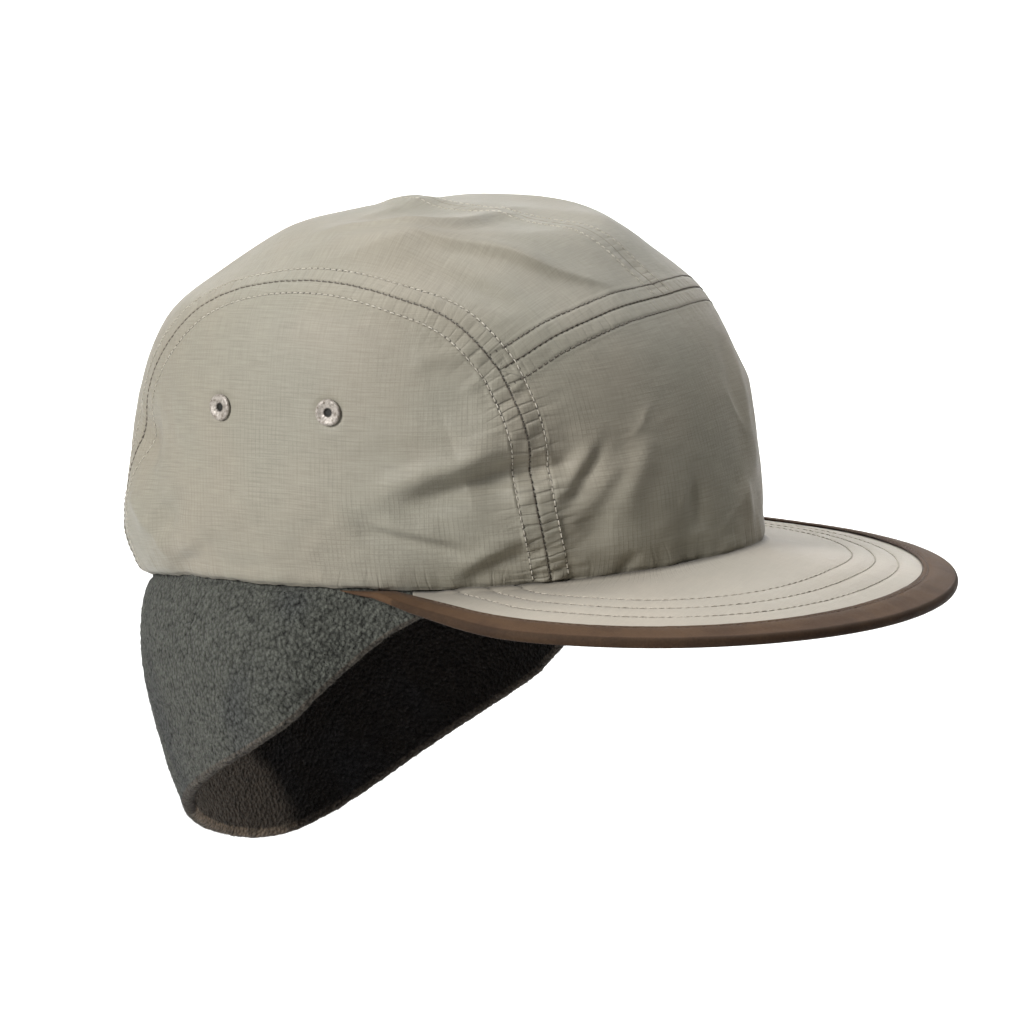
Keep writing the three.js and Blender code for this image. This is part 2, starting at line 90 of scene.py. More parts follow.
FOLDS = [
    # level, angle, level, angle, width, height
    [0.762, 94, 0.789, 74.4, 7, 1.1], [0.789, 74.4, 0.914, 15, 7, 1.2], [0.789, 74.4, 0.729, 39.1, 7, 1.0],
    [0.729, 39.1, 0.657, 19.1, 7, 0.8], [0.848, 130, 0.968, -163, 8, 0.9], [0.968, -163, 0.827, -26, 8, 0.9],
    [0.325, 133, 0.301, 123, 8, -2.2], [0.199, 137.8, 0.199, 130, 12, 1.6], [0.277, 129.8, 0.173, 122.3, 5, -1.2],
    [0.173, 122.3, 0.05, 120.6, 5, -1.0], [0.226, 64.6, 0.199, 54.8, 5, -1.4], [0.149, 76.5, 0.114, 64.8, 5, -1.2],
    [0.306, 43.1, 0.132, 38.0, 5, -1.2], [0.12, 20.1, 0.0, 21.8, 4, -0.9], [0.342, -22, 0.22, -8.8, 6, 1.1],
    [0.57, -104, 0.51, -76, 6, -1.3], [0.25, -118, 0.12, -103, 6, -1.2], [0.2, -66, 0.16, -54, 5, -1.2],
    [0.33, -150, 0.12, -143, 7, -1.5], [0.8, -105, 0.74, -62, 7, 1.0], [0.36, 168, 0.2, -174, 8, -1.5],
    [0.55, -176, 0.42, 166, 9, 1.2],
]
# Finer folds of the cloth. A ridge is round, a crest is sharp, and a tuck rises
# on its left, seen along its points from outside, and falls on its right.
FINE_FOLDS = [
    # form, width, height, points as (level, angle)
    ["tuck", 3.6, -2.2, [(0.276, 44.5), (0.272, 47.0), (0.266, 51.6), (0.255, 58.0), (0.241, 63.2), (0.226, 67.9), (0.206, 74.0)]],
    ["tuck", 6.4, -2.1, [(0.31, 46.5), (0.30, 51.0), (0.287, 56.0), (0.272, 61.0)]],
    ["tuck", 2.2, -0.95, [(0.104, 61.0), (0.119, 66.0), (0.131, 69.8), (0.143, 74.0), (0.153, 79.0)]],
    ["tuck", 2.9, -1.0, [(0.098, 48.5), (0.091, 52.7), (0.079, 55.9), (0.059, 58.4), (0.032, 61.2)]],
    ["crest", 2.8, 0.75, [(0.245, 131.5), (0.258, 127.0), (0.269, 120.8), (0.288, 113.0)]],
    ["crest", 3.0, 0.8, [(0.205, 139.0), (0.153, 128.8), (0.09, 124.4), (0.03, 122.6)]],
    ["crest", 2.8, 0.7, [(0.127, 131.6), (0.184, 124.2), (0.237, 117.4)]],
    ["crest", 2.4, 0.6, [(0.04, 136.3), (0.103, 123.8), (0.165, 114.6)]],
    ["ridge", 2.2, -0.7, [(0.1, 129.0), (0.15, 121.5), (0.21, 115.0)]],
    ["crest", 2.8, 0.5, [(0.293, 131.8), (0.315, 122.8), (0.325, 110.0)]],
    ["tuck", 3.0, 0.5, [(0.02, 128.0), (0.07, 117.0), (0.12, 108.0)]],
    ["ridge", 2.0, 0.55, [(0.468, 68.5), (0.482, 61.1), (0.488, 55.5)]],
    ["ridge", 2.4, -0.45, [(0.452, 66.0), (0.462, 60.6), (0.46, 56.0)]],
    ["ridge", 2.0, 0.3, [(0.45, 58.5), (0.40, 57.0), (0.34, 56.6)]],
    ["crest", 3.0, 0.25, [(0.09, 122.0), (0.08, 102.4), (0.09, 92.0)]],
    ["crest", 3.2, 0.3, [(0.324, 78.1), (0.343, 63.9), (0.36, 57.0)]],
    ["crest", 3.6, 0.3, [(0.50, 112.0), (0.43, 118.0), (0.36, 121.0)]],
    ["tuck", 3.0, -0.35, [(0.175, 66.0), (0.17, 73.0), (0.185, 82.0)]],
    ["crest", 2.6, 1.5, [(0.80, 100.0), (0.821, 94.3), (0.83, 81.5), (0.834, 66.7), (0.86, 49.7), (0.909, 18.0), (0.905, 2.0)]],
    ["crest", 2.3, 1.45, [(0.802, 74.0), (0.788, 66.4), (0.769, 55.1), (0.746, 44.3), (0.7, 33.2), (0.645, 17.0)]],
    ["tuck", 3.4, 0.6, [(0.80, 100.0), (0.821, 94.3), (0.83, 81.5), (0.834, 66.7), (0.86, 49.7), (0.909, 18.0), (0.905, 2.0)]],
    ["tuck", 3.2, 0.42, [(0.802, 74.0), (0.788, 66.4), (0.769, 55.1), (0.746, 44.3), (0.7, 33.2), (0.645, 17.0)]],
    ["crest", 2.8, 1.0, [(0.875, 102.0), (0.915, 104.0), (0.968, 111.0), (0.992, 180.0), (0.965, -105.0)]],
    ["crest", 3.0, 0.65, [(0.695, 93.0), (0.713, 89.4), (0.755, 80.6), (0.79, 66.4)]],
    ["crest", 2.0, 0.6, [(0.972, -10.0), (0.935, 3.0), (0.923, -21.0), (0.905, -37.0)]],
    ["ridge", 2.2, -0.4, [(0.745, -1.2), (0.701, -0.9), (0.66, -0.7)]],
    ["crest", 3.0, 0.6, [(0.922, 111.0), (0.955, 150.0), (0.93, -171.0)]],
    ["tuck", 3.4, 0.5, [(0.70, 62.0), (0.66, 52.0), (0.60, 44.0)]],
    ["crest", 3.0, 0.45, [(0.80, 130.0), (0.72, 132.0), (0.62, 134.0)]],
    ["ridge", 1.5, -1.0, [(0.258, 52.6), (0.251, 49.5), (0.251, 46.5), (0.258, 42.8), (0.264, 40.6)]],
    ["ridge", 1.7, -1.2, [(0.292, 34.0), (0.278, 35.3), (0.259, 36.6), (0.23, 38.9), (0.201, 41.4), (0.168, 43.8)]],
    ["ridge", 2.3, 1.0, [(0.284, 36.8), (0.268, 38.4), (0.24, 40.3), (0.214, 42.1), (0.18, 44.6)]],
    ["ridge", 2.4, 1.25, [(0.256, 30.8), (0.229, 33.5), (0.201, 36.1), (0.176, 38.7), (0.146, 42.0)]],
    ["tuck", 4.0, 0.9, [(0.30, 27.0), (0.25, 29.5), (0.19, 33.5), (0.14, 37.5)]],
    ["ridge", 3.2, -0.8, [(0.116, 35.6), (0.10, 40.2), (0.078, 44.0)]],
    ["ridge", 1.5, -0.65, [(0.045, 32.0), (0.027, 34.2), (0.002, 36.8)]],
    ["ridge", 2.6, -0.9, [(0.19, 16.0), (0.167, 16.9), (0.121, 17.4), (0.06, 18.4)]],
    ["crest", 2.0, 0.65, [(0.195, 16.9), (0.173, 17.8), (0.135, 20.4), (0.105, 22.0)]],
    ["ridge", 2.2, 0.8, [(0.155, 0.1), (0.13, 0.3), (0.088, 0.8), (0.03, 3.0)]],
    ["crest", 2.2, 0.65, [(0.36, -1.2), (0.324, -2.2), (0.288, -3.4), (0.235, -5.2)]],
    ["crest", 2.0, 0.45, [(0.36, 22.6), (0.341, 24.7), (0.312, 26.8), (0.288, 31.4)]],
    ["tuck", 3.6, 0.75, [(0.46, -15.2), (0.339, -8.1), (0.23, -4.0)]],
    ["crest", 3.2, 0.35, [(0.052, 40.8), (0.057, 29.7), (0.055, 15.8)]],
    ["crest", 2.6, 0.5, [(0.05, 13.5), (0.104, 3.7), (0.17, -6.3)]],
    ["ridge", 5.0, -1.9, [(0.337, 139.0), (0.317, 132.9), (0.303, 126.5)]],
    ["ridge", 4.6, 1.15, [(0.95, 116.0), (0.972, 150.0), (0.966, -171.0), (0.95, -150.0)]],
    # the side that the light doesn't reach and the back
    ["tuck", 4.2, 1.44, [(0.21, -48.5), (0.22, -55.0), (0.2, -63.0), (0.16, -70.0)]],
    ["crest", 2.8, 0.72, [(0.1, -50.0), (0.07, -58.0), (0.06, -70.0)]],
    ["crest", 3.2, 0.64, [(0.3, -122.0), (0.24, -112.0), (0.2, -100.0)]],
    ["tuck", 3.2, 0.96, [(0.06, -134.0), (0.12, -122.0), (0.19, -114.0)]],
    ["crest", 3.4, 0.80, [(0.83, -88.0), (0.8, -62.0), (0.73, -44.0)]],
    ["crest", 3.4, 0.64, [(0.72, -120.0), (0.78, -100.0), (0.8, -80.0)]],
    ["tuck", 3.6, 0.96, [(0.3, 176.0), (0.24, 166.0), (0.14, 158.0)]],
    ["crest", 3.0, 0.64, [(0.16, -178.0), (0.1, -168.0), (0.05, -160.0)]],
    ["crest", 3.4, 0.72, [(0.5, 160.0), (0.54, 175.0), (0.5, -168.0)]],
    ["tuck", 3.2, 0.80, [(0.26, -40.0), (0.19, -34.0), (0.12, -30.0)]],
    ["crest", 3.0, 0.48, [(0.4, -36.0), (0.36, -26.0), (0.3, -18.0)]],
]
BRIM_CENTRE_Y = -68.6
BRIM = [
    # direction, reach, z, rimAngle
    [0, 90.3, -4.8, 0], [18, 91.0, -4.7, 16.5], [36, 92.6, -4.4, 31], [54, 94.2, -4.3, 42.5],
    [72, 95.3, -4.3, 50], [90, 96.2, -4.2, 56], [104, 95.6, -2.8, 63.5],
]
BRIM_END_ANGLE = 77
BRIM_ROWS = [18.3, 25.4, 32.4]  # stitch rows, in from the visor's edge
FLAP = [
    # angle (on past the back, 180, to the wearer's left), zEdge, flare, swell
    [56, -3, -2.5, 0], [68, -9, -2.3, 0], [77, -20, -1.9, 0.3], [88, -37, 3.6, 3.2], [113, -62.5, 1.3, 4.8],
    [146, -85, -9.1, 6.2], [180, -103.5, -10.6, 7.4], [214, -108.5, -9.1, 6.2], [247, -84, 1.3, 4.8],
    [272, -55.5, 3.6, 3.2], [283, -40.5, -1.9, 0.3], [292, -27.5, -2.3, 0], [304, -9, -2.5, 0],
]
EYELETS = {"front": (0.373, 83.7), "rear": (0.372, 105.9)}


# --------------------------------------------------------------------- helpers
def mix(p, q, t):
    return p + (q - p) * t


def smooth(x, lo=0.0, hi=1.0):
    t = np.clip((x - lo) / (hi - lo), 0, 1)
    return t * t * (3 - 2 * t)


def spline(xs, ys, flat_start=False, flat_end=False):
    """A cubic spline through (xs, ys); flat ends have zero slope, others no curvature."""
    xs, ys = np.asarray(xs, float), np.asarray(ys, float)
    n, h = len(xs), np.diff(xs)
    A, d = np.zeros((n, n)), np.zeros(n)
    A[0, 0], A[-1, -1] = 1, 1
    if flat_start:
        A[0, 0], A[0, 1], d[0] = 2, 1, 6 * (ys[1] - ys[0]) / h[0] ** 2
    if flat_end:
        A[-1, -1], A[-1, -2], d[-1] = 2, 1, -6 * (ys[-1] - ys[-2]) / h[-1] ** 2
    for i in range(1, n - 1):
        s = h[i - 1] + h[i]
        A[i, i - 1], A[i, i], A[i, i + 1] = h[i - 1] / s, 2, h[i] / s
        d[i] = 6 * ((ys[i + 1] - ys[i]) / h[i] - (ys[i] - ys[i - 1]) / h[i - 1]) / s
    m = np.linalg.solve(A, d)

    def at(x):
        x = np.asarray(x, float)
        i = np.clip(np.searchsorted(xs, x, side="left") - 1, 0, n - 2)
        t, k = x - xs[i], h[i]
        return ys[i] + t * ((ys[i + 1] - ys[i]) / k - k * (2 * m[i] + m[i + 1]) / 6
                            + t * (m[i] / 2 + t * (m[i + 1] - m[i]) / (6 * k)))
    return at


def unit(v):
    return v / np.maximum(np.linalg.norm(v, axis=-1, keepdims=True), 1e-12)


def noise(p, seed=0):
    """Gradient noise, about -0.7 to 0.7, at points (..., 3) with a unit lattice."""
    p = np.asarray(p, float)
    cell = np.floor(p).astype(np.int64)
    f = p - cell
    w = f * f * f * (f * (f * 6 - 15) + 10)
    total = 0.0
    for dx in (0, 1):
        for dy in (0, 1):
            for dz in (0, 1):
                c = cell + (dx, dy, dz)
                h = (c[..., 0] * 374761393 + c[..., 1] * 668265263 + c[..., 2] * 1442695041 + seed * 1274126177) & 0xFFFFFFFF
                h = ((h ^ (h >> 13)) * 1274126177) & 0xFFFFFFFF
                h = ((h ^ (h >> 16)) * 2246822519) & 0xFFFFFFFF
                h = h ^ (h >> 15)
                g = [((h >> k) & 1023) / 511.5 - 1 for k in (0, 10, 20)]
                dot = g[0] * (f[..., 0] - dx) + g[1] * (f[..., 1] - dy) + g[2] * (f[..., 2] - dz)
                total = total + dot * (w[..., 0] if dx else 1 - w[..., 0]) * (w[..., 1] if dy else 1 - w[..., 1]) \
                    * (w[..., 2] if dz else 1 - w[..., 2])
    return total


def nearest_on(points, line):
    """For points (N, 3) and a polyline (M, 3): distance, length along, nearest place and direction there.

    The length along goes past both ends, by how far the point lies beyond them."""
    seg = np.diff(line, axis=0)
    length = np.linalg.norm(seg, axis=1)
    along = np.concatenate([[0], np.cumsum(length)])
    dist, where = np.empty(len(points)), np.empty(len(points))
    place, direction = np.empty((len(points), 3)), np.empty((len(points), 3))
    for lo in range(0, len(points), 6000):
        p = points[lo:lo + 6000]
        near = ((p[:, None] - line[None]) ** 2).sum(-1).argmin(1)
        best = np.full(len(p), np.inf)
        for shift in (-1, 0):
            i = np.clip(near + shift, 0, len(seg) - 1)
            t = np.clip(((p - line[i]) * seg[i]).sum(1) / length[i] ** 2, 0, 1)
            q = line[i] + seg[i] * t[:, None]
            d = np.linalg.norm(p - q, axis=1)
            take = d < best
            best = np.where(take, d, best)
            where[lo:lo + 6000] = np.where(take, along[i] + t * length[i], where[lo:lo + 6000])
            place[lo:lo + 6000] = np.where(take[:, None], q, place[lo:lo + 6000])
            direction[lo:lo + 6000] = np.where(take[:, None], seg[i] / length[i][:, None], direction[lo:lo + 6000])
        dist[lo:lo + 6000] = best
    beyond = ((points - place) * direction).sum(1)
    where = where + np.where(where <= 0, np.minimum(beyond, 0), np.where(where >= along[-1], np.maximum(beyond, 0), 0))
    return dist, where, place, direction


# ------------------------------------------------------------------- the crown
table = np.array(CROWN, float)
c_front, c_back, c_half, c_zf, c_zs, c_zb, c_wide, c_sqf, c_sqb = [spline(table[:, 0], table[:, i]) for i in range(1, 10)]
hem_z = spline([r[0] for r in HEM], [r[1] for r in HEM], True, True)


def smooth_crown(level, angle):
    level, angle = np.broadcast_arrays(np.asarray(level, float), np.asarray(angle, float))
    s, c = np.sin(np.radians(angle)), np.cos(np.radians(angle))
    fore = c > 0
    n, mid = np.where(fore, c_sqf(level), c_sqb(level)), c_wide(level)
    x = -c_half(level) * np.sign(s) * np.maximum(np.abs(s), 1e-12) ** (2 / n)
    y = mid + (np.where(fore, c_front(level), c_back(level)) - mid) * np.maximum(np.abs(c), 1e-12) ** (2 / n)
    zs = c_zs(level)
    z = zs + (np.where(fore, c_zf(level), c_zb(level)) - zs) * c * c
    k = np.clip(1 - level / 0.28, 0, 1)
    flat = CROWN[0][5] + (np.where(fore, CROWN[0][4], CROWN[0][6]) - CROWN[0][5]) * c * c
    turn = np.abs(angle) % 360
    turn = np.where(turn > 180, 360 - turn, turn)
    return np.stack([x, y, z + k * (hem_z(turn) - flat)], -1)


def chart(level, angle):
    level, angle = np.asarray(level, float), np.radians(np.asarray(angle, float))
    return np.stack([-(1 - level) * np.sin(angle), -(1 - level) * np.cos(angle)], -1)


def polar(uv):
    return 1 - np.hypot(uv[..., 0], uv[..., 1]), np.degrees(np.arctan2(-uv[..., 0], -uv[..., 1]))


def crown_base(uv):
    """The crown without folds. Its top is rounded, where the loops close on a point."""
    p = smooth_crown(*polar(uv))
    w = smooth(polar(uv)[0], 0.80, 0.97)
    near = w > 0
    if near.any():
        total = p[near] * 2
        for r in (0.045, 0.09, 0.13):
            for k in range(8):
                t = math.pi / 4 * k + r * 9
                total = total + smooth_crown(*polar(uv[near] + np.array([r * math.cos(t), r * math.sin(t)])))
        p[near] = mix(p[near], total / 26, w[near][..., None])
    return p


def normal_of(surface, uv, e=2e-3):
    du = surface(uv + [e, 0]) - surface(uv - [e, 0])
    dv = surface(uv + [0, e]) - surface(uv - [0, e])
    return unit(np.cross(du, dv))


def chart_line(rows):
    pts = chart([r[0] for r in rows], [r[1] for r in rows])
    at = np.concatenate([[0], np.cumsum(np.linalg.norm(np.diff(pts, axis=0), axis=1))])
    fu, fv = spline(at / at[-1], pts[:, 0]), spline(at / at[-1], pts[:, 1])
    return lambda t: np.stack([fu(t), fv(t)], -1)


def rim_line(p, q):
    return lambda t: chart(np.zeros_like(np.asarray(t, float)), mix(p, q, np.asarray(t, float)))


def reversed_line(line):
    return lambda t: line(1 - np.asarray(t, float))


def mirrored(line):
    return lambda t: line(t) * [-1, 1]


def coons(bottom, top, left, right_line):
    corners = [bottom(0.0), bottom(1.0), top(0.0), top(1.0)]

    def at(s, t):
        S, T = np.asarray(s)[..., None], np.asarray(t)[..., None]
        return mix(bottom(s), top(s), T) + mix(left(t), right_line(t), S) \
            - mix(mix(corners[0], corners[1], S), mix(corners[2], corners[3], S), T)
    return at


front_side, front_top = chart_line(SEAM_FRONT_SIDE), chart_line(SEAM_FRONT_TOP)
arch = chart_line(SEAM_ARCH_FORE + SEAM_ARCH_AFT[1:])
arch_pts = chart(*np.array(SEAM_ARCH_FORE + SEAM_ARCH_AFT[1:]).T)
arch_lengths = np.cumsum(np.linalg.norm(np.diff(arch_pts, axis=0), axis=1))
ARCH_SPLIT = arch_lengths[len(SEAM_ARCH_FORE) - 2] / arch_lengths[-1]  # where the side panel's upper edge turns down


def arch_fore(t):
    return arch(np.asarray(t, float) * ARCH_SPLIT)


def arch_aft(t):
    return arch(mix(ARCH_SPLIT, 1, np.asarray(t, float)))


RIM_FRONT, RIM_BACK = SEAM_FRONT_SIDE[0][1], SEAM_ARCH_AFT[-1][1]
top_front, rim_mid = chart(*SEAM_FRONT_TOP[-1]), chart(0, 180)


def middle(t):
    return mix(top_front, rim_mid, np.asarray(t, float)[..., None])


def front_top_whole(t):
    t = np.asarray(t, float)
    return np.where((t < 0.5)[..., None], front_top(np.minimum(2 * t, 1)), front_top(np.minimum(2 - 2 * t, 1)) * [-1, 1])


def even(line, step=0.9):
    """Chart points along a line at an even step in millimetres on the crown."""
    t = np.linspace(0, 1, 1200)
    p = crown_base(line(t))
    at = np.concatenate([[0], np.cumsum(np.linalg.norm(np.diff(p, axis=0), axis=1))])
    n = max(8, int(at[-1] / step))
    return line(np.interp(np.linspace(0, at[-1], n + 1), at, t))


def joined(*parts):
    return np.concatenate([parts[0]] + [p[1:] for p in parts[1:]])


side_seam = joined(even(front_side), even(arch))  # from the rim in front up and over to the rim at the back
SEAMS = {  # chart points of each seam
    "side_right": side_seam,
    "side_left": side_seam * [-1, 1],
    "front_top": even(front_top_whole),
    "middle": even(middle),
}
SEAM_XYZ = {k: crown_base(v) for k, v in SEAMS.items()}
RIM_XYZ = smooth_crown(0, np.linspace(-180, 180, 721))

cad_folds = []
for l0, a0, l1, a1, width, height in FOLDS:
    cad_folds.append((smooth_crown(l0, a0), smooth_crown(l1, a1), width, height))
fine_folds = []
for form, width, height, rows in FINE_FOLDS:
    pts = crown_base(chart([r[0] for r in rows], [r[1] for r in rows]))
    at = np.concatenate([[0], np.cumsum(np.linalg.norm(np.diff(pts, axis=0), axis=1))])
    t = np.linspace(0, at[-1], 40)
    fine_folds.append((form, width, height, np.stack([spline(at, pts[:, i])(t) for i in range(3)], -1)))
eyelet_xyz = {(side, where): crown_base(chart(level, sign * angle)[None])[0]
              for side, sign in (("right", 1), ("left", -1)) for where, (level, angle) in EYELETS.items()}


def fold_height(p, n, where=None):
    h = np.zeros(len(p))
    for a0, b0, width, height in cad_folds:
        ab = b0 - a0
        t = np.clip(((p - a0) @ ab) / (ab @ ab), 0, 1)
        d2 = ((p - a0 - t[:, None] * ab) ** 2).sum(1)
        h += height * np.exp(-d2 / (2 * width * width))
    for form, width, height, line in fine_folds:
        close = np.flatnonzero(((p - line.mean(0)) ** 2).sum(1) < (np.linalg.norm(line - line.mean(0), axis=1).max() + 5 * width) ** 2)
        if not len(close):
            continue
        d, at, q, t = nearest_on(p[close], line)
        total = np.linalg.norm(np.diff(line, axis=0), axis=1).sum()
        past = np.maximum(np.maximum(-at, at - total), 0)  # how far past an end
        fade = np.sin(np.pi * np.clip(0.04 + 0.92 * np.clip(at / total, 0, 1), 0, 1)) ** 0.8
        across = ((p[close] - q) * np.cross(n[close], t)).sum(1)
        wave = 1 + 0.25 * noise(np.stack([at / 9, across / 30, np.full(len(at), width)], -1), 3)
        w = width * wave
        r = np.sqrt(across ** 2 + past ** 2)
        if form == "ridge":
            f = np.exp(-(r / w) ** 2 / 2)
        elif form == "crest":
            f = 1.25 * np.exp(-(np.sqrt(r ** 2 + (0.28 * w) ** 2)) / (1.1 * w))
        else:
            f = (across / w) * np.exp(0.5 - (r / w) ** 2 / 2)
        h[close] += 1.32 * height * fade * f
    return h


def crease(x, soft=0.09):
    return 1 - np.sqrt(x * x + soft * soft) * 2.2


SEAM_LENGTH = {k: np.linalg.norm(np.diff(v, axis=0), axis=1).sum() for k, v in SEAM_XYZ.items()}


def seam_facts(p, n):
    """Distance to each seam, length along it and side of it, for points (N, 3)."""
    out = {}
    for k, line in SEAM_XYZ.items():
        d, at, q, t = nearest_on(p, line)
        past = np.maximum(-at, at - SEAM_LENGTH[k])
        out[k] = (d + 40 * np.clip(past - 0.3, 0, 2), at, np.sign(((p - q) * np.cross(n, t)).sum(1)))
    d, at, q, t = nearest_on(p, RIM_XYZ)
    out["rim"] = (d, at)
    return out


def relief(p, n):
    """Height of the outer cloth over the smooth crown, and what the cloth's material needs to know."""
    facts = seam_facts(p, n)
    h = fold_height(p, n)
    low = smooth(-p[:, 2], -62, -6)
    backness = smooth(p[:, 1], 45, 95) * smooth(-p[:, 2], -70, -30)
    warp = np.stack([noise(p / 46 + 7.1, 11), noise(p / 46 + 3.7, 12), noise(p / 46 + 9.4, 13)], -1) * 16
    q = p + warp
    h += 0.45 * noise(p / 27, 21) * (0.45 + 0.9 * low)
    h += 0.42 * crease(noise(q / [31, 31, 24], 22)) * (0.28 + 0.6 * low + 0.6 * backness) - 0.12
    h += 0.27 * crease(noise(q / [14, 14, 9.5] + 5, 23)) * (0.22 + 0.65 * low + 0.5 * backness)
    h += 0.22 * noise(q / [9.5, 9.5, 6.5], 24) * (0.4 + low)
    h += 0.05 * noise(q / 3.6, 25)

    seam_d = np.full(len(p), 99.0)
    band, groove, rows, pucker = np.zeros(len(p)), np.zeros(len(p)), np.zeros(len(p)), np.zeros(len(p))
    row_d, row_at, rung, pull = np.full(len(p), 99.0), np.zeros(len(p)), np.zeros(len(p)), np.zeros(len(p))
    for i, (k, (d, at, hand)) in enumerate((k, facts[k]) for k in SEAMS):
        strength = {"middle": 0.75}.get(k, 1.0)
        gather = 0.45 + 1.0 * (1 - smooth(at, 58, 84)) if k.startswith("side") else 0.4
        band = np.maximum(band, strength * 0.17 * (1 - smooth(d, ROW + 0.2, ROW + 1.9)))
        groove = np.maximum(groove, strength * 0.22 * np.exp(-(d / 0.42) ** 2))
        rows = np.maximum(rows, 0.22 * np.exp(-((d - ROW) / 0.6) ** 2))
        along = np.stack([at / 2.7, d / 9, np.full(len(p), 3.3 + i)], -1)
        wide = np.stack([at / 6.0, d / 24, np.full(len(p), 8.3 + i)], -1)
        within = np.sin(np.pi * np.clip(d / ROW, 0, 1)) ** 0.6 * (d < ROW)
        outer = smooth(d, ROW - 0.2, ROW + 1.2) * np.exp(-np.maximum(d - ROW, 0) / 7.5)
        near_rim = 1 + 0.7 * smooth(-at, -75, -20) if k.startswith("side") else 1
        pucker += gather * near_rim * (0.62 * within * noise(along, 31) + 0.25 * (d < ROW) * noise(wide, 34)
                                       + outer * (0.40 * noise(along, 32) + 0.62 * noise(wide, 33)))
        # rungs: small creases square to the seam, where the stitching gathers the cloth
        steps = at / 3.3 + 0.85 * noise(np.stack([at / 7.5, d / 15, 5.7 * i + 2.3 * hand], -1), 35)
        uneven = np.clip(0.62 + 1.1 * noise(np.stack([at / 4.6, d / 40, 3.1 * i + 4.9 * hand], -1), 36), 0.1, 1.2)
        rib = np.exp(-((steps - np.round(steps)) / 0.17) ** 2)
        pucker -= gather * uneven * rib * (0.19 * within + 0.10 * outer)
        take = d < seam_d
        rung, pull = np.where(take, steps, rung), np.where(take, gather * uneven, pull)
        for offset in ((0.0, ROW) if k != "middle" else (ROW,)):
            miss = np.abs(d - offset)
            take = miss < np.abs(row_d)
            row_d, row_at = np.where(take, miss, row_d), np.where(take, at, row_at)
        seam_d = np.minimum(seam_d, d)
    h += band - groove - rows + pucker

    d, at = facts["rim"]
    turn = np.degrees(np.arctan2(-p[:, 0], -(p[:, 1] - 10)))
    visor = 1 - smooth(np.abs(turn), 62, 80)
    gathers = noise(np.stack([at / 3.4, d / 16, np.full(len(p), 1.7)], -1), 41)
    broad = noise(np.stack([at / 8.5, d / 30, np.full(len(p), 4.9)], -1), 42)
    h += np.exp(-d / 5.5) * smooth(d, 0, 1.2) * gathers * mix(0.40, 0.75, visor)
    h += np.exp(-d / 11) * smooth(d, 0, 2.5) * broad * 0.75
    h += mix(0.55, 0.0, visor) * np.exp(-((d - 3.6) / 2.6) ** 2)  # the hem is turned up inside
    h -= mix(1.1, 0.45, visor) * np.exp(-(d / 1.15) ** 2)

    hole = np.full(len(p), 99.0)
    for place in eyelet_xyz.values():
        hole = np.minimum(hole, np.linalg.norm(p - place, axis=1))
    near = hole < 9
    if near.any():
        h[near] = mix(fold_height(p[near], n[near]) * 0.6 - 0.05, h[near], smooth(hole[near], 3.4, 9.0))
    h -= 0.30 * np.exp(-((hole - 4.1) / 0.8) ** 2)
    hem_rung = at / 4.3 + 1.3 * noise(np.stack([at / 9.5, d / 18, np.full(len(p), 6.6)], -1), 43)
    hem_pull = np.clip(0.3 + 1.5 * noise(np.stack([at / 6.1, d / 30, np.full(len(p), 2.2)], -1), 44), 0, 1.1)
    return h, {"seam_d": seam_d, "rung": rung, "pull": pull, "row_d": row_d, "row_at": row_at / STITCH, "rim_d": d,
               "rim_at": at, "hem_rung": hem_rung, "hem_pull": hem_pull, "hole_d": hole}


def crown_final(uv):
    """The cloth's outer face at chart points (N, 2): places, smooth normals and facts."""
    p, n = crown_base(uv), normal_of(crown_base, uv)
    h, facts = relief(p, n)
    outer = p + n * h[:, None]
    # the folded edge isn't quite even
    at = facts["rim_at"]
    uneven = 0.5 * noise(np.stack([at / 3.1, 0 * at, 0 * at + 0.4], -1), 45) + 0.5 * noise(np.stack([at / 9, 0 * at, 0 * at + 7.4], -1), 46)
    turn = np.abs(np.degrees(np.arctan2(p[:, 0], -(p[:, 1] - 10))))
    outer[:, 2] += uneven * np.exp(-facts["rim_d"] / 2.5) * smooth(turn, 60, 85)
    return outer, n, facts


# --------------------------------------------------------------- mesh building
def link(name, verts, faces, smooth_faces=True):
    me = bpy.data.meshes.new(name)
    me.from_pydata((np.asarray(verts) * MM).tolist(), [], faces)
    me.validate()
    me.update()
    me.polygons.foreach_set("use_smooth", [smooth_faces] * len(me.polygons))
    ob = bpy.data.objects.new(name, me)
    bpy.context.scene.collection.objects.link(ob)
    return ob


def grid_faces(rows, cols, first=0, flip=False, wrap=False):
    r, c = np.meshgrid(np.arange(rows - 1), np.arange(cols if wrap else cols - 1), indexing="ij")
    a0 = first + r * cols + c
    b0 = first + r * cols + (c + 1) % cols
    f = np.stack([a0, b0, b0 + cols, a0 + cols], -1).reshape(-1, 4)
    return (f[:, ::-1] if flip else f).tolist()


def border(rows, cols, first=0):
    """The indices round a grid, in order."""
    r0 = [first + c for c in range(cols)]
    r1 = [first + r * cols + cols - 1 for r in range(1, rows)]
    r2 = [first + (rows - 1) * cols + c for c in range(cols - 2, -1, -1)]
    r3 = [first + r * cols for r in range(rows - 2, 0, -1)]
    return r0 + r1 + r2 + r3


def attribute(ob, name, values):
    at = ob.data.attributes.new(name, "FLOAT", "POINT")
    at.data.foreach_set("value", np.asarray(values, np.float32))


def uv_map(ob, per_vertex, name="cloth"):
    layer = ob.data.uv_layers.new(name=name)
    index = np.empty(len(ob.data.loops), np.int32)
    ob.data.loops.foreach_get("vertex_index", index)
    layer.data.foreach_set("uv", np.asarray(per_vertex, np.float32)[index].ravel())


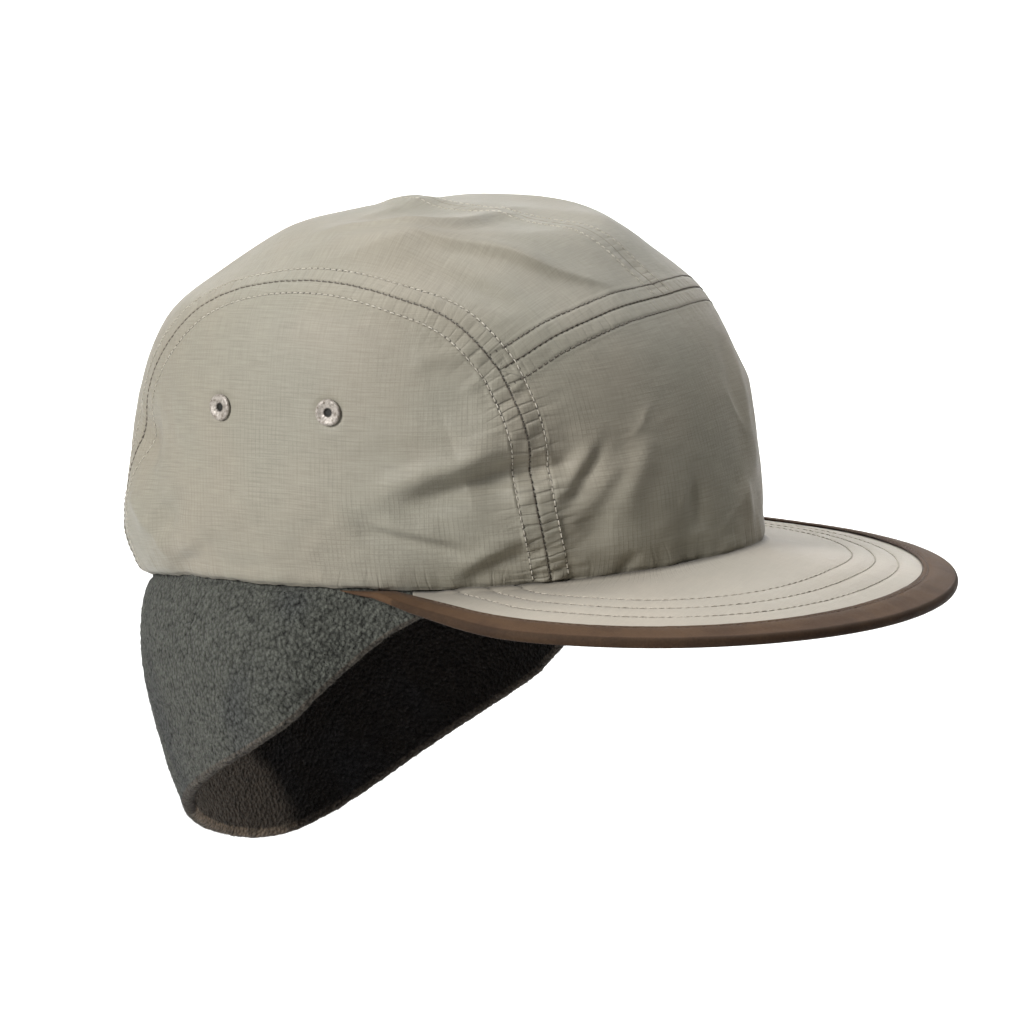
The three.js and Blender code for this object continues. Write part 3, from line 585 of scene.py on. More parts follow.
def shell(name, outer, inner, uv, facts, skip=4):
    """A closed cloth shell: a fine outer grid and an inner grid of every fourth point."""
    rows, cols = outer.shape[:2]
    inner = inner[::skip, ::skip]
    r2, c2 = inner.shape[:2]
    verts = np.concatenate([outer.reshape(-1, 3), inner.reshape(-1, 3)])
    faces = grid_faces(rows, cols) + grid_faces(r2, c2, rows * cols, flip=True)
    o, i = border(rows, cols), border(r2, c2, rows * cols)
    for k in range(len(i)):
        d0, e0 = i[k], i[(k + 1) % len(i)]
        run = [o[(skip * k + j) % len(o)] for j in range(skip + 1)]
        half = skip // 2
        for j in range(skip):
            faces.append([run[j + 1], run[j], d0 if j < half else e0])
        faces.append([run[half], d0, e0])
    ob = link(name, verts, faces)
    flat = uv.reshape(-1, 2)
    uv_map(ob, np.concatenate([flat, uv[::skip, ::skip].reshape(-1, 2)]))
    for key, values in facts.items():
        v = values.reshape(rows, cols)
        attribute(ob, key, np.concatenate([v.ravel(), v[::skip, ::skip].ravel()]))
    attribute(ob, "inside", np.concatenate([np.zeros(rows * cols), np.ones(r2 * c2)]))
    return ob


def graded(count, fine=0.45, reach=0.13):
    """count + 1 stations from 0 to 1, closer together near both ends."""
    x = np.linspace(0, 1, 2001)
    d = np.minimum(x, 1 - x)
    density = 1 / (fine + (1 - fine) * smooth(d, 0.02, reach))
    at = np.concatenate([[0], np.cumsum((density[1:] + density[:-1]) / 2)])
    return np.interp(np.linspace(0, 1, count + 1), at / at[-1], x)


def arc_coordinates(levels=161, angles=721):
    """Lengths round and up the crown, tabled over level and angle, for the weave."""
    l, t = np.linspace(0, 0.999, levels), np.linspace(-180, 180, angles)
    P = crown_base(chart(*np.meshgrid(l, t, indexing="ij")))
    up_len = np.concatenate([np.zeros((1, angles)), np.cumsum(np.linalg.norm(np.diff(P, axis=0), axis=2), axis=0)])
    round_len = np.concatenate([np.zeros((levels, 1)), np.cumsum(np.linalg.norm(np.diff(P, axis=1), axis=2), axis=1)], 1)

    def look(grid, level, angle):
        i, j = np.clip(level / 0.999 * (levels - 1), 0, levels - 1.001), np.clip((angle + 180) / 360 * (angles - 1), 0, angles - 1.001)
        i0, j0 = i.astype(int), j.astype(int)
        fi, fj = i - i0, j - j0
        return (grid[i0, j0] * (1 - fi) + grid[i0 + 1, j0] * fi) * (1 - fj) + (grid[i0, j0 + 1] * (1 - fi) + grid[i0 + 1, j0 + 1] * fi) * fj

    def at(uv, centre):
        level, angle = polar(uv)
        return np.stack([look(round_len, level, angle) - look(round_len, level, np.full_like(level, centre)),
                         look(up_len, level, angle)], -1)
    return at


arc_at = arc_coordinates()
mid_line = crown_base(SEAMS["middle"])
mid_line[:, 0] = 0


def top_coordinates(P):
    """Weave coordinates of a top panel from its grid of places, rows from front to back."""
    flat = P.reshape(-1, 3) * [0, 1, 1]
    v = nearest_on(flat, mid_line)[1].reshape(P.shape[:2])
    step = np.linalg.norm(np.diff(P, axis=1), axis=2) ** 2 - np.diff(v, axis=1) ** 2
    u = np.concatenate([np.zeros((P.shape[0], 1)), np.cumsum(np.sqrt(np.maximum(step, 0)), axis=1)], 1)
    return np.stack([u, v], -1)


def crown_panel(name, patch, across, up, sign, centre=None):
    s, t = np.meshgrid(graded(across), graded(up))
    uv = patch(s, t) * [sign, 1]
    flat = uv.reshape(-1, 2)
    outer, n, facts = crown_final(flat)
    base = crown_base(flat)
    # the inner face keeps to the smooth crown's inner side and follows the main folds
    inner = outer - n * (CLOTH * 0.85)
    shape = s.shape + (3,)
    if centre is None:
        weave = top_coordinates(base.reshape(shape))
        weave[..., 0] *= sign
    else:
        weave = arc_at(flat, centre * sign).reshape(s.shape + (2,))
    outer, inner = outer.reshape(shape), inner.reshape(shape)
    facts = {k: v.reshape(s.shape) for k, v in facts.items()}
    if np.cross(outer[1, 1] - outer[1, 0], outer[2, 1] - outer[1, 1]) @ n.reshape(shape)[1, 1] < 0:
        outer, inner, weave = outer[:, ::-1], inner[:, ::-1], weave[:, ::-1]
        facts = {k: v[:, ::-1] for k, v in facts.items()}
    ob = shell(name, outer, inner, weave * 0.01, facts)
    area = 0.5 * np.linalg.norm(np.cross(outer[1:, 1:] - outer[:-1, :-1], outer[1:, :-1] - outer[:-1, 1:]), axis=-1).sum()
    span = weave.reshape(-1, 2).max(0) - weave.reshape(-1, 2).min(0)
    return ob, area * 1e-6, span * MM


front_patch = coons(rim_line(RIM_FRONT, -RIM_FRONT), front_top_whole, front_side, mirrored(front_side))
side_patch = coons(rim_line(RIM_FRONT, RIM_BACK), arch_fore, front_side, reversed_line(arch_aft))
top_patch = coons(reversed_line(front_top), rim_line(180, RIM_BACK), middle, arch)

pieces = {}
areas = {}
for name, node, patch, across, up, sign, centre in (
        ("front_panel_cloth", "front_panel", front_patch, 236, 160, 1, 0),
        ("side_panel_right_cloth", "side_panel_right", side_patch, 288, 188, 1, 95),
        ("side_panel_left_cloth", "side_panel_left", side_patch, 248, 160, -1, 95),
        ("top_panel_right_cloth", "top_panel_right", top_patch, 128, 324, 1, None),
        ("top_panel_left_cloth", "top_panel_left", top_patch, 112, 288, -1, None)):
    ob, area, span = crown_panel(name, patch, across, up, sign, centre)
    pieces[node] = ob
    areas[node] = (area, span)


# ------------------------------------------------------------------- stitches
stitch_paths = {"thread_light": [], "thread_dark": []}


def lay_stitches(kind, p, n, pitch=STITCH, phase=0.0, radius=THREAD, skip=None):
    """Stitches along a row of places with outward normals, one per pitch."""
    at = np.concatenate([[0], np.cumsum(np.linalg.norm(np.diff(p, axis=0), axis=1))])
    count = int((at[-1] - phase) / pitch)
    for k in range(count):
        lo, hi = phase + (k + 0.07) * pitch, phase + (k + 0.93) * pitch
        s = np.linspace(lo, hi, 5)
        q = np.stack([np.interp(s, at, p[:, i]) for i in range(3)], -1)
        m = unit(np.stack([np.interp(s, at, n[:, i]) for i in range(3)], -1))
        jitter = 0.05 * math.sin(k * 2.399 + len(p))
        lift = np.array([-0.16, 0.10, 0.17 + jitter, 0.10, -0.16])
        side = unit(np.cross(m, q[-1] - q[0])) * (0.05 * math.sin(k * 1.7 + 0.3 * len(p)))
        stitch_paths[kind].append((q + m * lift[:, None] + side, m, radius))


def offset_row(seam, offset, trim=(0.0, 0.0), side=1):
    """Chart points at a distance to one side of a seam."""
    uv = SEAMS[seam]
    p = SEAM_XYZ[seam]
    at = np.concatenate([[0], np.cumsum(np.linalg.norm(np.diff(p, axis=0), axis=1))])
    keep = (at >= trim[0]) & (at <= at[-1] - trim[1])
    uv, p = uv[keep], p[keep]
    t = unit(np.gradient(p, axis=0))
    n = normal_of(crown_base, uv)
    b = np.cross(n, t) * side
    q = uv.copy()
    for _ in range(4):
        e = 1e-3
        du = (crown_base(q + [e, 0]) - crown_base(q - [e, 0])) / (2 * e)
        dv = (crown_base(q + [0, e]) - crown_base(q - [0, e])) / (2 * e)
        here = crown_base(q) - p
        miss = np.stack([offset - (here * b).sum(1), -(here * t).sum(1)], 1)
        A = np.stack([np.stack([(du * b).sum(1), (dv * b).sum(1)], 1), np.stack([(du * t).sum(1), (dv * t).sum(1)], 1)], 1)
        q = q + np.linalg.solve(A, miss[..., None])[..., 0]
    return q


def stitch_row(kind, uv, **more):
    level = polar(uv)[0]
    uv = uv[level > 0.006]
    if len(uv) < 6:
        return
    p, n, _ = crown_final(uv)
    lay_stitches(kind, p, n, **more)


for side_name, sign in (("right", 1), ("left", -1)):
    key = "side_" + side_name
    # the middle row, in the seam's groove, takes the darker copy of the thread as painted shade
    for offset, kind, trim in ((ROW, "thread_light", (1.5, 1.5)), (0.35, "thread_dark", (1.5, 1.5)), (-ROW, "thread_light", (1.5, 1.5))):
        stitch_row(kind, offset_row(key, offset, trim, 1), phase=0.3)
# the front seam's rows run from one side seam to the other
# these rows take the darker copy of the thread as painted shade
for offset, trim in ((ROW, (3.5, 3.5)), (0.3, (0.6, 0.6)), (-ROW, (3.0, 3.0))):
    stitch_row("thread_dark", offset_row("front_top", offset, trim, 1), phase=0.2)
for offset in (ROW, -ROW):
    stitch_row("thread_light", offset_row("middle", offset, (0.8, 1.5), 1), phase=0.5)


# ------------------------------------------------------------------- the visor
def rim_at(angle):
    return smooth_crown(0, angle)


def rim_out(angle):
    angle = np.asarray(angle, float)
    t = rim_at(angle + 0.5) - rim_at(angle - 0.5)
    o = np.stack([-t[..., 1], t[..., 0], np.zeros_like(t[..., 0])], -1)
    return unit(o)


brim_rows = [(-reach * math.sin(math.radians(d)), BRIM_CENTRE_Y - reach * math.cos(math.radians(d)), z, rim_angle)
             for d, reach, z, rim_angle in BRIM]
brim_end = rim_at(BRIM_END_ANGLE)
brim_rows.append((brim_end[0], brim_end[1], brim_end[2] - 1.5, BRIM_END_ANGLE))
brim_index = np.arange(-(len(brim_rows) - 1), len(brim_rows))
brim_x, brim_y, brim_z, brim_rim = [
    spline(brim_index, [(-1 if odd and i < 0 else 1) * brim_rows[abs(i)][col] for i in brim_index])
    for col, odd in ((0, True), (1, False), (2, False), (3, True))]
BRIM_LAST = len(brim_rows) - 1 - 0.12
TAPE_TIP = 81.0  # the tape ends at this angle, under the hem


def brim_ends(k):
    angle = brim_rim(k)
    inner = rim_at(angle) - rim_out(angle) * BRIM_TUCK
    inner[..., 2] -= FIT_GAP + BRIM_THICK / 2
    return inner, np.stack([brim_x(k), brim_y(k), brim_z(k)], -1)


def brim_mid(k, from_edge):
    inner, outer = brim_ends(k)
    length = np.linalg.norm(outer - inner, axis=-1)
    t = from_edge / length
    q = mix(outer, inner, t[..., None])
    q[..., 2] += BRIM_BOW * 4 * t * (1 - t) * np.clip(length / 40, 0, 1)
    return q


def tape_width(k, length):
    """How far the tape reaches in; near the ends its inner edge runs in under the hem."""
    return np.minimum(TAPE_WIDTH, length - mix(BRIM_TUCK + CLOTH + 0.8, 0.02, smooth(np.abs(k), 5.5, 6.35)))


def even_stations(count):
    k = np.linspace(-BRIM_LAST, BRIM_LAST, 3000)
    q = brim_ends(k)[1]
    at = np.concatenate([[0], np.cumsum(np.linalg.norm(np.diff(q, axis=0), axis=1))])
    return np.interp(np.linspace(0, at[-1], count + 1), at, k), at[-1]


EDGE_K, EDGE_LENGTH = even_stations(900)
EDGE_LINE = brim_ends(EDGE_K)[1] * [1, 1, 0]


def visor():
    k, _ = even_stations(312)
    k = k[np.abs(k) < 6.5]
    k = k[:len(k) - (len(k) - 1) % 4]
    cols = 84
    inner, outer = brim_ends(k)
    length = np.linalg.norm(outer - inner, axis=-1)
    inset = np.minimum(TAPE_THICK + FIT_GAP, length - 0.6)
    j = np.linspace(0, 1, cols + 1)
    d = mix(length[:, None], inset[:, None], j[None])
    mid = brim_mid(k[:, None] + 0 * d, d)
    D, at, _, _ = nearest_on(mid.reshape(-1, 3) * [1, 1, 0], EDGE_LINE)
    D, at = D.reshape(d.shape), at.reshape(d.shape)
    rim_d = nearest_on(mid.reshape(-1, 3) * [1, 1, 0], RIM_XYZ * [1, 1, 0])[0].reshape(d.shape)
    row_d = np.full(d.shape, 99.0)
    h = np.zeros(d.shape)
    for r in BRIM_ROWS:
        h -= 0.20 * np.exp(-((D - r) / 0.6) ** 2)
        row_d = np.minimum(row_d, np.abs(D - r))
    h += 0.12 * np.cos((D - BRIM_ROWS[0]) / (BRIM_ROWS[1] - BRIM_ROWS[0]) * 2 * np.pi + np.pi) * smooth(D, 14, 18) * (1 - smooth(D, 32.5, 39))
    gathers = noise(np.stack([at / 4.2, D / 14, 0 * D + 3.1], -1), 51)
    h += 0.10 * gathers * np.exp(-np.abs(D - BRIM_ROWS[1]) / 12)
    h += 0.16 * noise(np.stack([at / 5, rim_d / 12, 0 * D + 6.1], -1), 52) * np.exp(-rim_d / 7)
    h += 0.14 * noise(mid / 24, 53) + 0.05 * noise(mid / 7, 54)
    contact = 0.95 * np.exp(-(rim_d / 2.1) ** 2)  # the cloth turns up where it goes into the hem
    reach = tape_width(k, length)[:, None]
    middle_part = (np.abs(k) < 5.6)[:, None]
    under_tape = 1 - np.where(middle_part, smooth(D, TAPE_WIDTH - 1.0, TAPE_WIDTH + 1.2), smooth(d, reach - 0.5, reach + 0.7))
    contact = contact * (1 - under_tape) * (1 - smooth(np.abs(k), 5.75, 6.2))[:, None]
    h = h * (1 - under_tape) - 0.1 * under_tape
    top = mid + np.stack([0 * h, 0 * h, BRIM_THICK / 2 - 0.1 + np.minimum(h, 0.32) + contact], -1)
    low = mid - np.stack([0 * h, 0 * h, BRIM_THICK / 2 - 0.1 + h * 0.5], -1)
    rows, n = top.shape[:2]
    verts = np.concatenate([top.reshape(-1, 3), low[::2, ::2].reshape(-1, 3)])
    weave = np.stack([mid[..., 0], mid[..., 1] + 0.0 * mid[..., 2]], -1) * 0.01
    faces_fact = {"row_d": row_d, "row_at": at / 2.6, "seam_d": np.full(d.shape, 99.0), "rim_d": rim_d, "edge_d": D,
                  "hem_rung": at / 3.9 + noise(np.stack([at / 9, rim_d / 12, 0 * D], -1), 55), "hem_pull": np.full(d.shape, 0.3), "hole_d": 99 + 0 * D}
    flip = np.cross(top[150, 41] - top[150, 40], top[151, 40] - top[150, 40])[2] < 0
    if flip:
        top, low, weave = top[:, ::-1], low[:, ::-1], weave[:, ::-1]
        faces_fact = {key: v[:, ::-1] for key, v in faces_fact.items()}
    ob = shell("visor_cloth", top, low, weave, faces_fact)
    # the stitch rows keep to their distance from the edge
    for r in BRIM_ROWS:
        q, m = [], []
        for i in range(len(k)):
            dist, zrow = D[i], mid[i]
            if dist.max() < r + 1.5 or rim_d[i].min() > 900:
                continue
            order = np.argsort(dist)
            pos = np.array([np.interp(r, dist[order], zrow[order, c]) for c in range(3)])
            if np.interp(r, dist[order], rim_d[i][order]) < 2.2:
                continue
            q.append(pos + [0, 0, BRIM_THICK / 2 - 0.1 - 0.22])
            m.append([0, 0, 1])
        if len(q) > 10:
            lay_stitches("thread_visor", np.array(q), np.array(m, float), pitch=2.6)
            under = np.array(q) - [0, 0, BRIM_THICK - 0.44]
            lay_stitches("thread_visor", under, -np.array(m, float), pitch=2.6)
    return ob


stitch_paths["thread_visor"] = []
stitch_paths["thread_tape"] = []
pieces["brim"] = visor()


def binding():
    k, total = even_stations(440)
    inner, outer = brim_ends(k)
    length = np.linalg.norm(outer - inner, axis=-1)
    hollow = BRIM_THICK / 2 + FIT_GAP * 0.3
    cells, bend = 15, 11
    width = tape_width(k, length)
    lower = 1 - 0.2 * smooth(np.abs(k), 5.9, 6.5)
    start = TAPE_THICK + hollow * 0.5
    flat_in = np.stack([mix(width, start, j / cells) for j in range(cells + 1)], 1)
    at = np.linspace(0, total, len(k))
    ring_out, ring_in = [], []
    for face in (1, -1):
        cols_o, cols_i = [], []
        for j in range(cells + 1):
            d = flat_in[:, j]
            from_inner = width - d
            lip = np.exp(-(from_inner / 0.5) ** 2) * 0.35
            groove = 0.24 * np.exp(-((from_inner - 1.7) / 0.6) ** 2)
            hump = 0.30 * np.exp(-((from_inner - 5.0) / 2.8) ** 2)
            wave = 0.10 * noise(np.stack([at / 4.6, d / 9, 0 * d + 5.5 * face], -1), 61) \
                + 0.06 * noise(np.stack([at / 2.1, d / 5, 0 * d + 2.5 * face], -1), 62)
            cols_o.append((d, face * (hollow + TAPE_THICK - lip - groove + hump + wave)))
            cols_i.append((d, face * hollow))
        if face == 1:
            top_o, top_i = cols_o, cols_i
        else:
            low_o, low_i = cols_o[::-1], cols_i[::-1]
    bend_o, bend_i = [], []
    for j in range(1, bend + 1):
        ang = math.radians(mix(90, -90, j / (bend + 1)))
        one = np.ones(len(k))
        wave = 0.07 * noise(np.stack([at / 5.5, one * ang, one * 7.7], -1), 63)
        bend_o.append((start - (hollow * 0.5 + TAPE_THICK + wave) * math.cos(ang), (hollow + TAPE_THICK) * math.sin(ang) * one))
        bend_i.append((start - hollow * 0.5 * math.cos(ang) * one, hollow * math.sin(ang) * one))
    outside, inside_ring = top_o + bend_o + low_o, top_i + bend_i + low_i

    def place(ring):
        P = []
        for d, h in ring:
            q = brim_mid(k, np.minimum(d, length - 0.02))
            q[:, 2] += h * lower
            P.append(q)
        return np.stack(P, 1)
    O, I = place(outside), place(inside_ring)[:, ::-1]
    R = np.concatenate([O, I], 1)
    # each end runs on along the hem and thins out under it
    angle = brim_rim(k)
    more = np.linspace(abs(angle[-1]), TAPE_TIP, 13)[1:]
    head = np.stack([rim_at(-b) + (R[0] - rim_at(angle[0])) for b in more[::-1]])
    tail = np.stack([rim_at(b) + (R[-1] - rim_at(angle[-1])) for b in more])
    R = np.concatenate([head, R, tail])
    angle = np.concatenate([-more[::-1], angle, more])
    shrink = np.clip((np.abs(angle) - 69) / (TAPE_TIP - 69), 0, 1) ** 1.6
    base = rim_at(angle)[:, None]
    R = base + (R - base) * (1 - 0.95 * shrink)[:, None, None]
    R[..., 2] -= 0.3 * shrink[:, None]
    width = np.concatenate([np.full(12, width[0]), width, np.full(12, width[-1])])
    at = np.concatenate([at[0] - np.arange(12, 0, -1) * 0.8, at, at[-1] + np.arange(1, 13) * 0.8])
    rows, cols = R.shape[:2]
    faces = grid_faces(rows, cols, wrap=True)
    n_out = O.shape[1]
    for o, flip in ((0, False), ((rows - 1) * cols, True)):
        for i in range(cols // 2 - 1):
            f = [o + i, o + i + 1, o + cols - 2 - i, o + cols - 1 - i]
            faces.append(f[::-1] if flip else f)
    verts = R.reshape(-1, 3)
    ob = link("brim_binding_tape", verts, faces)
    fix_outward(ob)
    # weave coordinates: along the edge, and round the section
    girth = np.concatenate([[0], np.cumsum(np.linalg.norm(np.diff(O[len(k) // 2], axis=0), axis=1))])
    girth = np.concatenate([girth, girth[::-1]])
    uv_map(ob, np.stack([np.repeat(at, cols), np.tile(girth, rows)], -1) * 0.01)
    rings = [np.concatenate([np.full(12, d[0]), d, np.full(12, d[-1])]) for d, _ in outside]
    dist = np.stack([width - d for d in rings], 1)
    dist = np.concatenate([dist, dist[:, ::-1]], 1)
    attribute(ob, "from_inner", dist.ravel())
    # stitches just inside the tape's inner edge, above and below
    width = width[12:-12]
    ok = (width > 4.5) & (np.abs(k) < 6.2)
    for face in (1, -1):
        q = brim_mid(k, width - 1.7)
        q[:, 2] += face * (hollow + TAPE_THICK - 0.22)
        m = np.tile([0, 0, float(face)], (len(k), 1))
        lay_stitches("thread_tape", q[ok], m[ok], pitch=2.5, radius=0.17)
    return ob, total, at


def fix_outward(ob):
    me = ob.data
    co = np.empty(len(me.vertices) * 3)
    me.vertices.foreach_get("co", co)
    co = co.reshape(-1, 3)
    me.calc_loop_triangles()
    tri = np.empty(len(me.loop_triangles) * 3, np.int32)
    me.loop_triangles.foreach_get("vertices", tri)
    a0, b0, c0 = co[tri.reshape(-1, 3)].transpose(1, 0, 2)
    if (a0 * np.cross(b0, c0)).sum() < 0:
        me.flip_normals()
        me.update()


pieces["brim_binding"], TAPE_LENGTH, _ = binding()

# ----------------------------------------------------------------- the ear flap
flap_table = np.array(FLAP, float)
flap_edge, flap_flare, flap_swell = [spline(flap_table[:, 0], flap_table[:, i]) for i in (1, 2, 3)]


def flap():
    first = FLAP[0][0]
    turns = np.linspace(first, 360 - first, 470)
    rim, out = rim_at(turns), rim_out(turns)
    edge, flare, swell = flap_edge(turns) + FLEECE / 2, flap_flare(turns), np.maximum(0, flap_swell(turns))
    start = -CLOTH - FIT_GAP - FLEECE / 2
    tucked = np.maximum(rim[:, 2] + FLAP_TUCK, 4)
    ring_len = np.concatenate([[0], np.cumsum(np.linalg.norm(np.diff(rim, axis=0), axis=1))])

    def at(s):
        s = np.full(len(turns), s)
        up_part = s <= 0
        sp = np.maximum(s, 0)
        o = np.where(up_part, start, mix(start, flare - FLEECE / 2, sp) + swell * np.sin(np.pi * sp ** 0.7))
        z = np.where(up_part, mix(rim[:, 2] - 1, tucked, -s), mix(rim[:, 2] - 1, np.minimum(edge, rim[:, 2] - 2.5), sp))
        # a slight rolling of the free edge and soft standing waves in the hanging cloth
        wave = noise(np.stack([ring_len / 44, sp * 1.1, sp * 0 + 2.2], -1), 71) * 2.6 * smooth(sp, 0.15, 0.8) \
            * smooth(rim[:, 2] - edge, 25, 60)
        roll = 1.5 * smooth(sp, 0.82, 1.0) * smooth(rim[:, 2] - edge, 20, 50)
        return o + wave - roll * 0.6, z
    stops = np.concatenate([np.linspace(-1, 0, 6)[:-1], np.linspace(0, 0.93, 112)[:-1], np.linspace(0.93, 1, 12)])
    mids, normals = [], []
    for s in stops:
        (o, z), (o1, z1), (o0, z0) = at(s), at(s + 0.01), at(s - 0.01)
        length = np.hypot(o1 - o0, z1 - z0)
        w = float(smooth(np.array(s), 0.0, 0.08))
        no, nz = mix(1.0, -(z1 - z0) / length, w), mix(0.0, (o1 - o0) / length, w)
        k = np.hypot(no, nz)
        mids.append((o, z))
        normals.append((no / k, nz / k))
    half = FLEECE / 2 - 0.15

    def put(o, z):
        return np.stack([rim[:, 0] + out[:, 0] * o, rim[:, 1] + out[:, 1] * o, z], -1)
    columns, lip_share, inner_share, down = [], [], [], []
    for (o, z), (no, nz), s in zip(mids, normals, stops):
        columns.append(put(o + no * half, z + nz * half)); lip_share.append(smooth(np.array(s), 0.94, 1.0)); inner_share.append(0.0); down.append(s)
    (o, z), (no, nz) = mids[-1], normals[-1]
    for ang in (65, 40, 15, -15, -40, -65):
        c, s = math.cos(math.radians(90 - ang)), math.sin(math.radians(90 - ang))
        columns.append(put(o + half * (no * c + nz * s), z + half * (nz * c - no * s))); lip_share.append(1.0); inner_share.append(0.5 - ang / 180); down.append(1.04)
    thin = list(range(len(stops) - 1, -1, -1))
    thin = [i for i in thin if i % 2 == (len(stops) - 1) % 2 or stops[i] > 0.95 or i == 0]
    for i in thin:
        (o, z), (no, nz) = mids[i], normals[i]
        columns.append(put(o - no * half, z - nz * half)); lip_share.append(float(smooth(np.array(stops[i]), 0.95, 1.0))); inner_share.append(1.0); down.append(stops[i])
    G = np.stack(columns, 1)  # (turn, ring, 3)
    return turns, G, np.array([float(x) for x in lip_share]), np.array(inner_share), np.array(down), ring_len


def ring_normals(G):
    dt = np.gradient(G, axis=0)
    dr = (np.roll(G, -1, 1) - np.roll(G, 1, 1))
    return unit(np.cross(dr, dt))


turns, G, lip_share, inner_share, down, ring_len = flap()
N_flap = ring_normals(G)
centre = G.mean(1, keepdims=True)
if ((G - centre) * N_flap).sum() < 0:
    N_flap = -N_flap
shape = G.shape[:2]
show = np.broadcast_to(smooth(down, -0.02, 0.1), shape)
# pebbles of the pile
blob = noise(G / 1.4, 81)
blob2 = noise(G / 1.05 + 4, 82)
clump = noise(G / 5.5 + 9, 83)
pile = (0.46 * blob + 0.34 * blob2 + 0.22 * clump) * show
G = G + N_flap * pile[..., None]
rows, cols = shape
flap_faces = grid_faces(rows, cols, wrap=True)
for o in (0, (rows - 1) * cols):
    outer_n = int((inner_share < 0.5).sum())
    loop = [o + i for i in range(cols)]
    flap_faces.append(loop if o else loop[::-1])
ear = link("ear_flap_fleece", G.reshape(-1, 3), flap_faces)
fix_outward(ear)
attribute(ear, "inner", np.broadcast_to(inner_share, shape).ravel())
attribute(ear, "lip", np.broadcast_to(lip_share, shape).ravel())
attribute(ear, "pile", pile.ravel())
drop = np.cumsum(np.concatenate([[0], np.linalg.norm(np.diff(G[rows // 2], axis=0), axis=1)]))
uv_map(ear, np.stack([np.repeat(ring_len, cols), np.tile(drop, rows)], -1) * 0.01)
pieces["ear_flap"] = ear


def fuzz(count, seed):
    """Short bent fibres that stand out of the pile, each a closed sliver."""
    rng = np.random.default_rng(seed)
    N = ring_normals(G)
    if (N * N_flap).sum() < 0:
        N = -N
    a0 = np.linalg.norm(np.cross(G[1:, 1:] - G[:-1, :-1], G[1:, :-1] - G[:-1, 1:]), axis=-1)
    visible = (down[:-1] > 0.0) & (down[:-1] < 1.5)
    a0 = a0 * visible[None] * (1 + 2.0 * lip_share[:-1][None])
    pick = rng.choice(a0.size, count, p=(a0 / a0.sum()).ravel())
    i, j = np.unravel_index(pick, a0.shape)
    f, g = rng.random(count)[:, None], rng.random(count)[:, None]
    P = mix(mix(G[i, j], G[i + 1, j], f), mix(G[i, j + 1], G[i + 1, j + 1], f), g)
    n = unit(mix(N[i, j], N[i + 1, j + 1], 0.5))
    t = unit(np.cross(n, rng.normal(size=(count, 3))))
    b = np.cross(n, t)
    lean = rng.uniform(0.3, 1.3, count)[:, None]
    length = rng.uniform(0.45, 1.15, count)[:, None]
    d0 = unit(n + t * lean * 0.5)
    d1 = unit(n * 0.5 + t * lean + np.array([0, 0, -0.25]))
    w = rng.uniform(0.05, 0.085, count)[:, None]
    V = [P - n * 0.15 + (t * math.cos(x) + b * math.sin(x)) * w for x in (0, 2.094, 4.189)]
    V.append(P + (d0 * 0.55 + d1 * 0.5) * length)
    V = np.stack(V, 1).reshape(-1, 3)
    base = (np.arange(count) * 4)[:, None]
    F = (base[:, None] + np.array([[0, 2, 1], [0, 1, 3], [1, 2, 3], [2, 0, 3]])[None]).reshape(-1, 3)
    ob = link("ear_flap_fuzz", V, F.tolist())
    fix_outward(ob)
    attribute(ob, "inner", np.repeat(inner_share[j], 4))
    attribute(ob, "lip", np.repeat(lip_share[j], 4))
    # through the pile value each fibre takes painted shade at its root and is lighter at its tip
    attribute(ob, "pile", np.tile([-0.1, -0.1, -0.1, 0.6], count))
    return ob


pieces["fuzz"] = fuzz(22000, 5)


# -------------------------------------------------------------------- eyelets
def eyelet(side, where):
    level, angle = EYELETS[where]
    uv = chart(level, angle if side == "right" else -angle)[None]
    p, n, _ = crown_final(uv)
    p, n = p[0], n[0]
    profile = [  # radius, height over the cloth
        (1.05, -0.9), (1.05, 0.1), (1.15, 0.42), (1.42, 0.62), (1.9, 0.70), (2.5, 0.86), (3.05, 1.0), (3.5, 0.98),
        (3.84, 0.78), (3.98, 0.45), (3.96, 0.12), (3.75, -0.12), (2.75, -0.12), (2.6, -0.4), (2.6, -1.1), (2.8, -1.35), (3.5, -1.5),
        (3.62, -1.75), (3.4, -1.95), (1.5, -1.9), (1.12, -1.6),
    ]
    at = np.array(profile)
    steps = np.linspace(0, len(at), 42, endpoint=False)
    closed_at = np.vstack([at, at[:1]])
    prof = np.stack([np.interp(steps, np.arange(len(closed_at)), closed_at[:, i]) for i in (0, 1)], -1)
    around = 56
    verts = []
    t = unit(np.cross(n, [0.0, 0.0, 1.0]))
    b = np.cross(n, t)
    shift = {"front": 0.4, "rear": 1.9}[where] + (2.2 if side == "left" else 0)
    for k in range(around):
        th = 2 * math.pi * k / around
        petals = 0.10 * abs(math.sin(3.5 * th + shift)) ** 0.6 + 0.04 * math.sin(2 * th + 3 * shift)
        for r, h in prof:
            on_face = float(np.clip((h - 0.3) * 2.2, 0, 1)) * float(np.clip((3.4 - r) * 0.9, 0, 1))
            r2 = r * (1 + 0.012 * math.sin(3 * th + shift))
            verts.append(p + (t * math.cos(th) + b * math.sin(th)) * r2 + n * (h - on_face * petals * 1.6))
    faces = grid_faces(around + 1, len(prof), wrap=True)
    faces = [[i % (around * len(prof)) for i in f] for f in faces]
    ob = link(f"eyelet_{side}_{where}_enamel", verts, faces)
    fix_outward(ob)
    radius = np.tile(prof[:, 0], around)
    attribute(ob, "radius", radius)
    attribute(ob, "height", np.tile(prof[:, 1], around))
    return ob


for side_name in ("right", "left"):
    for where in EYELETS:
        pieces[f"eyelet_{side_name}_{where}"] = eyelet(side_name, where)


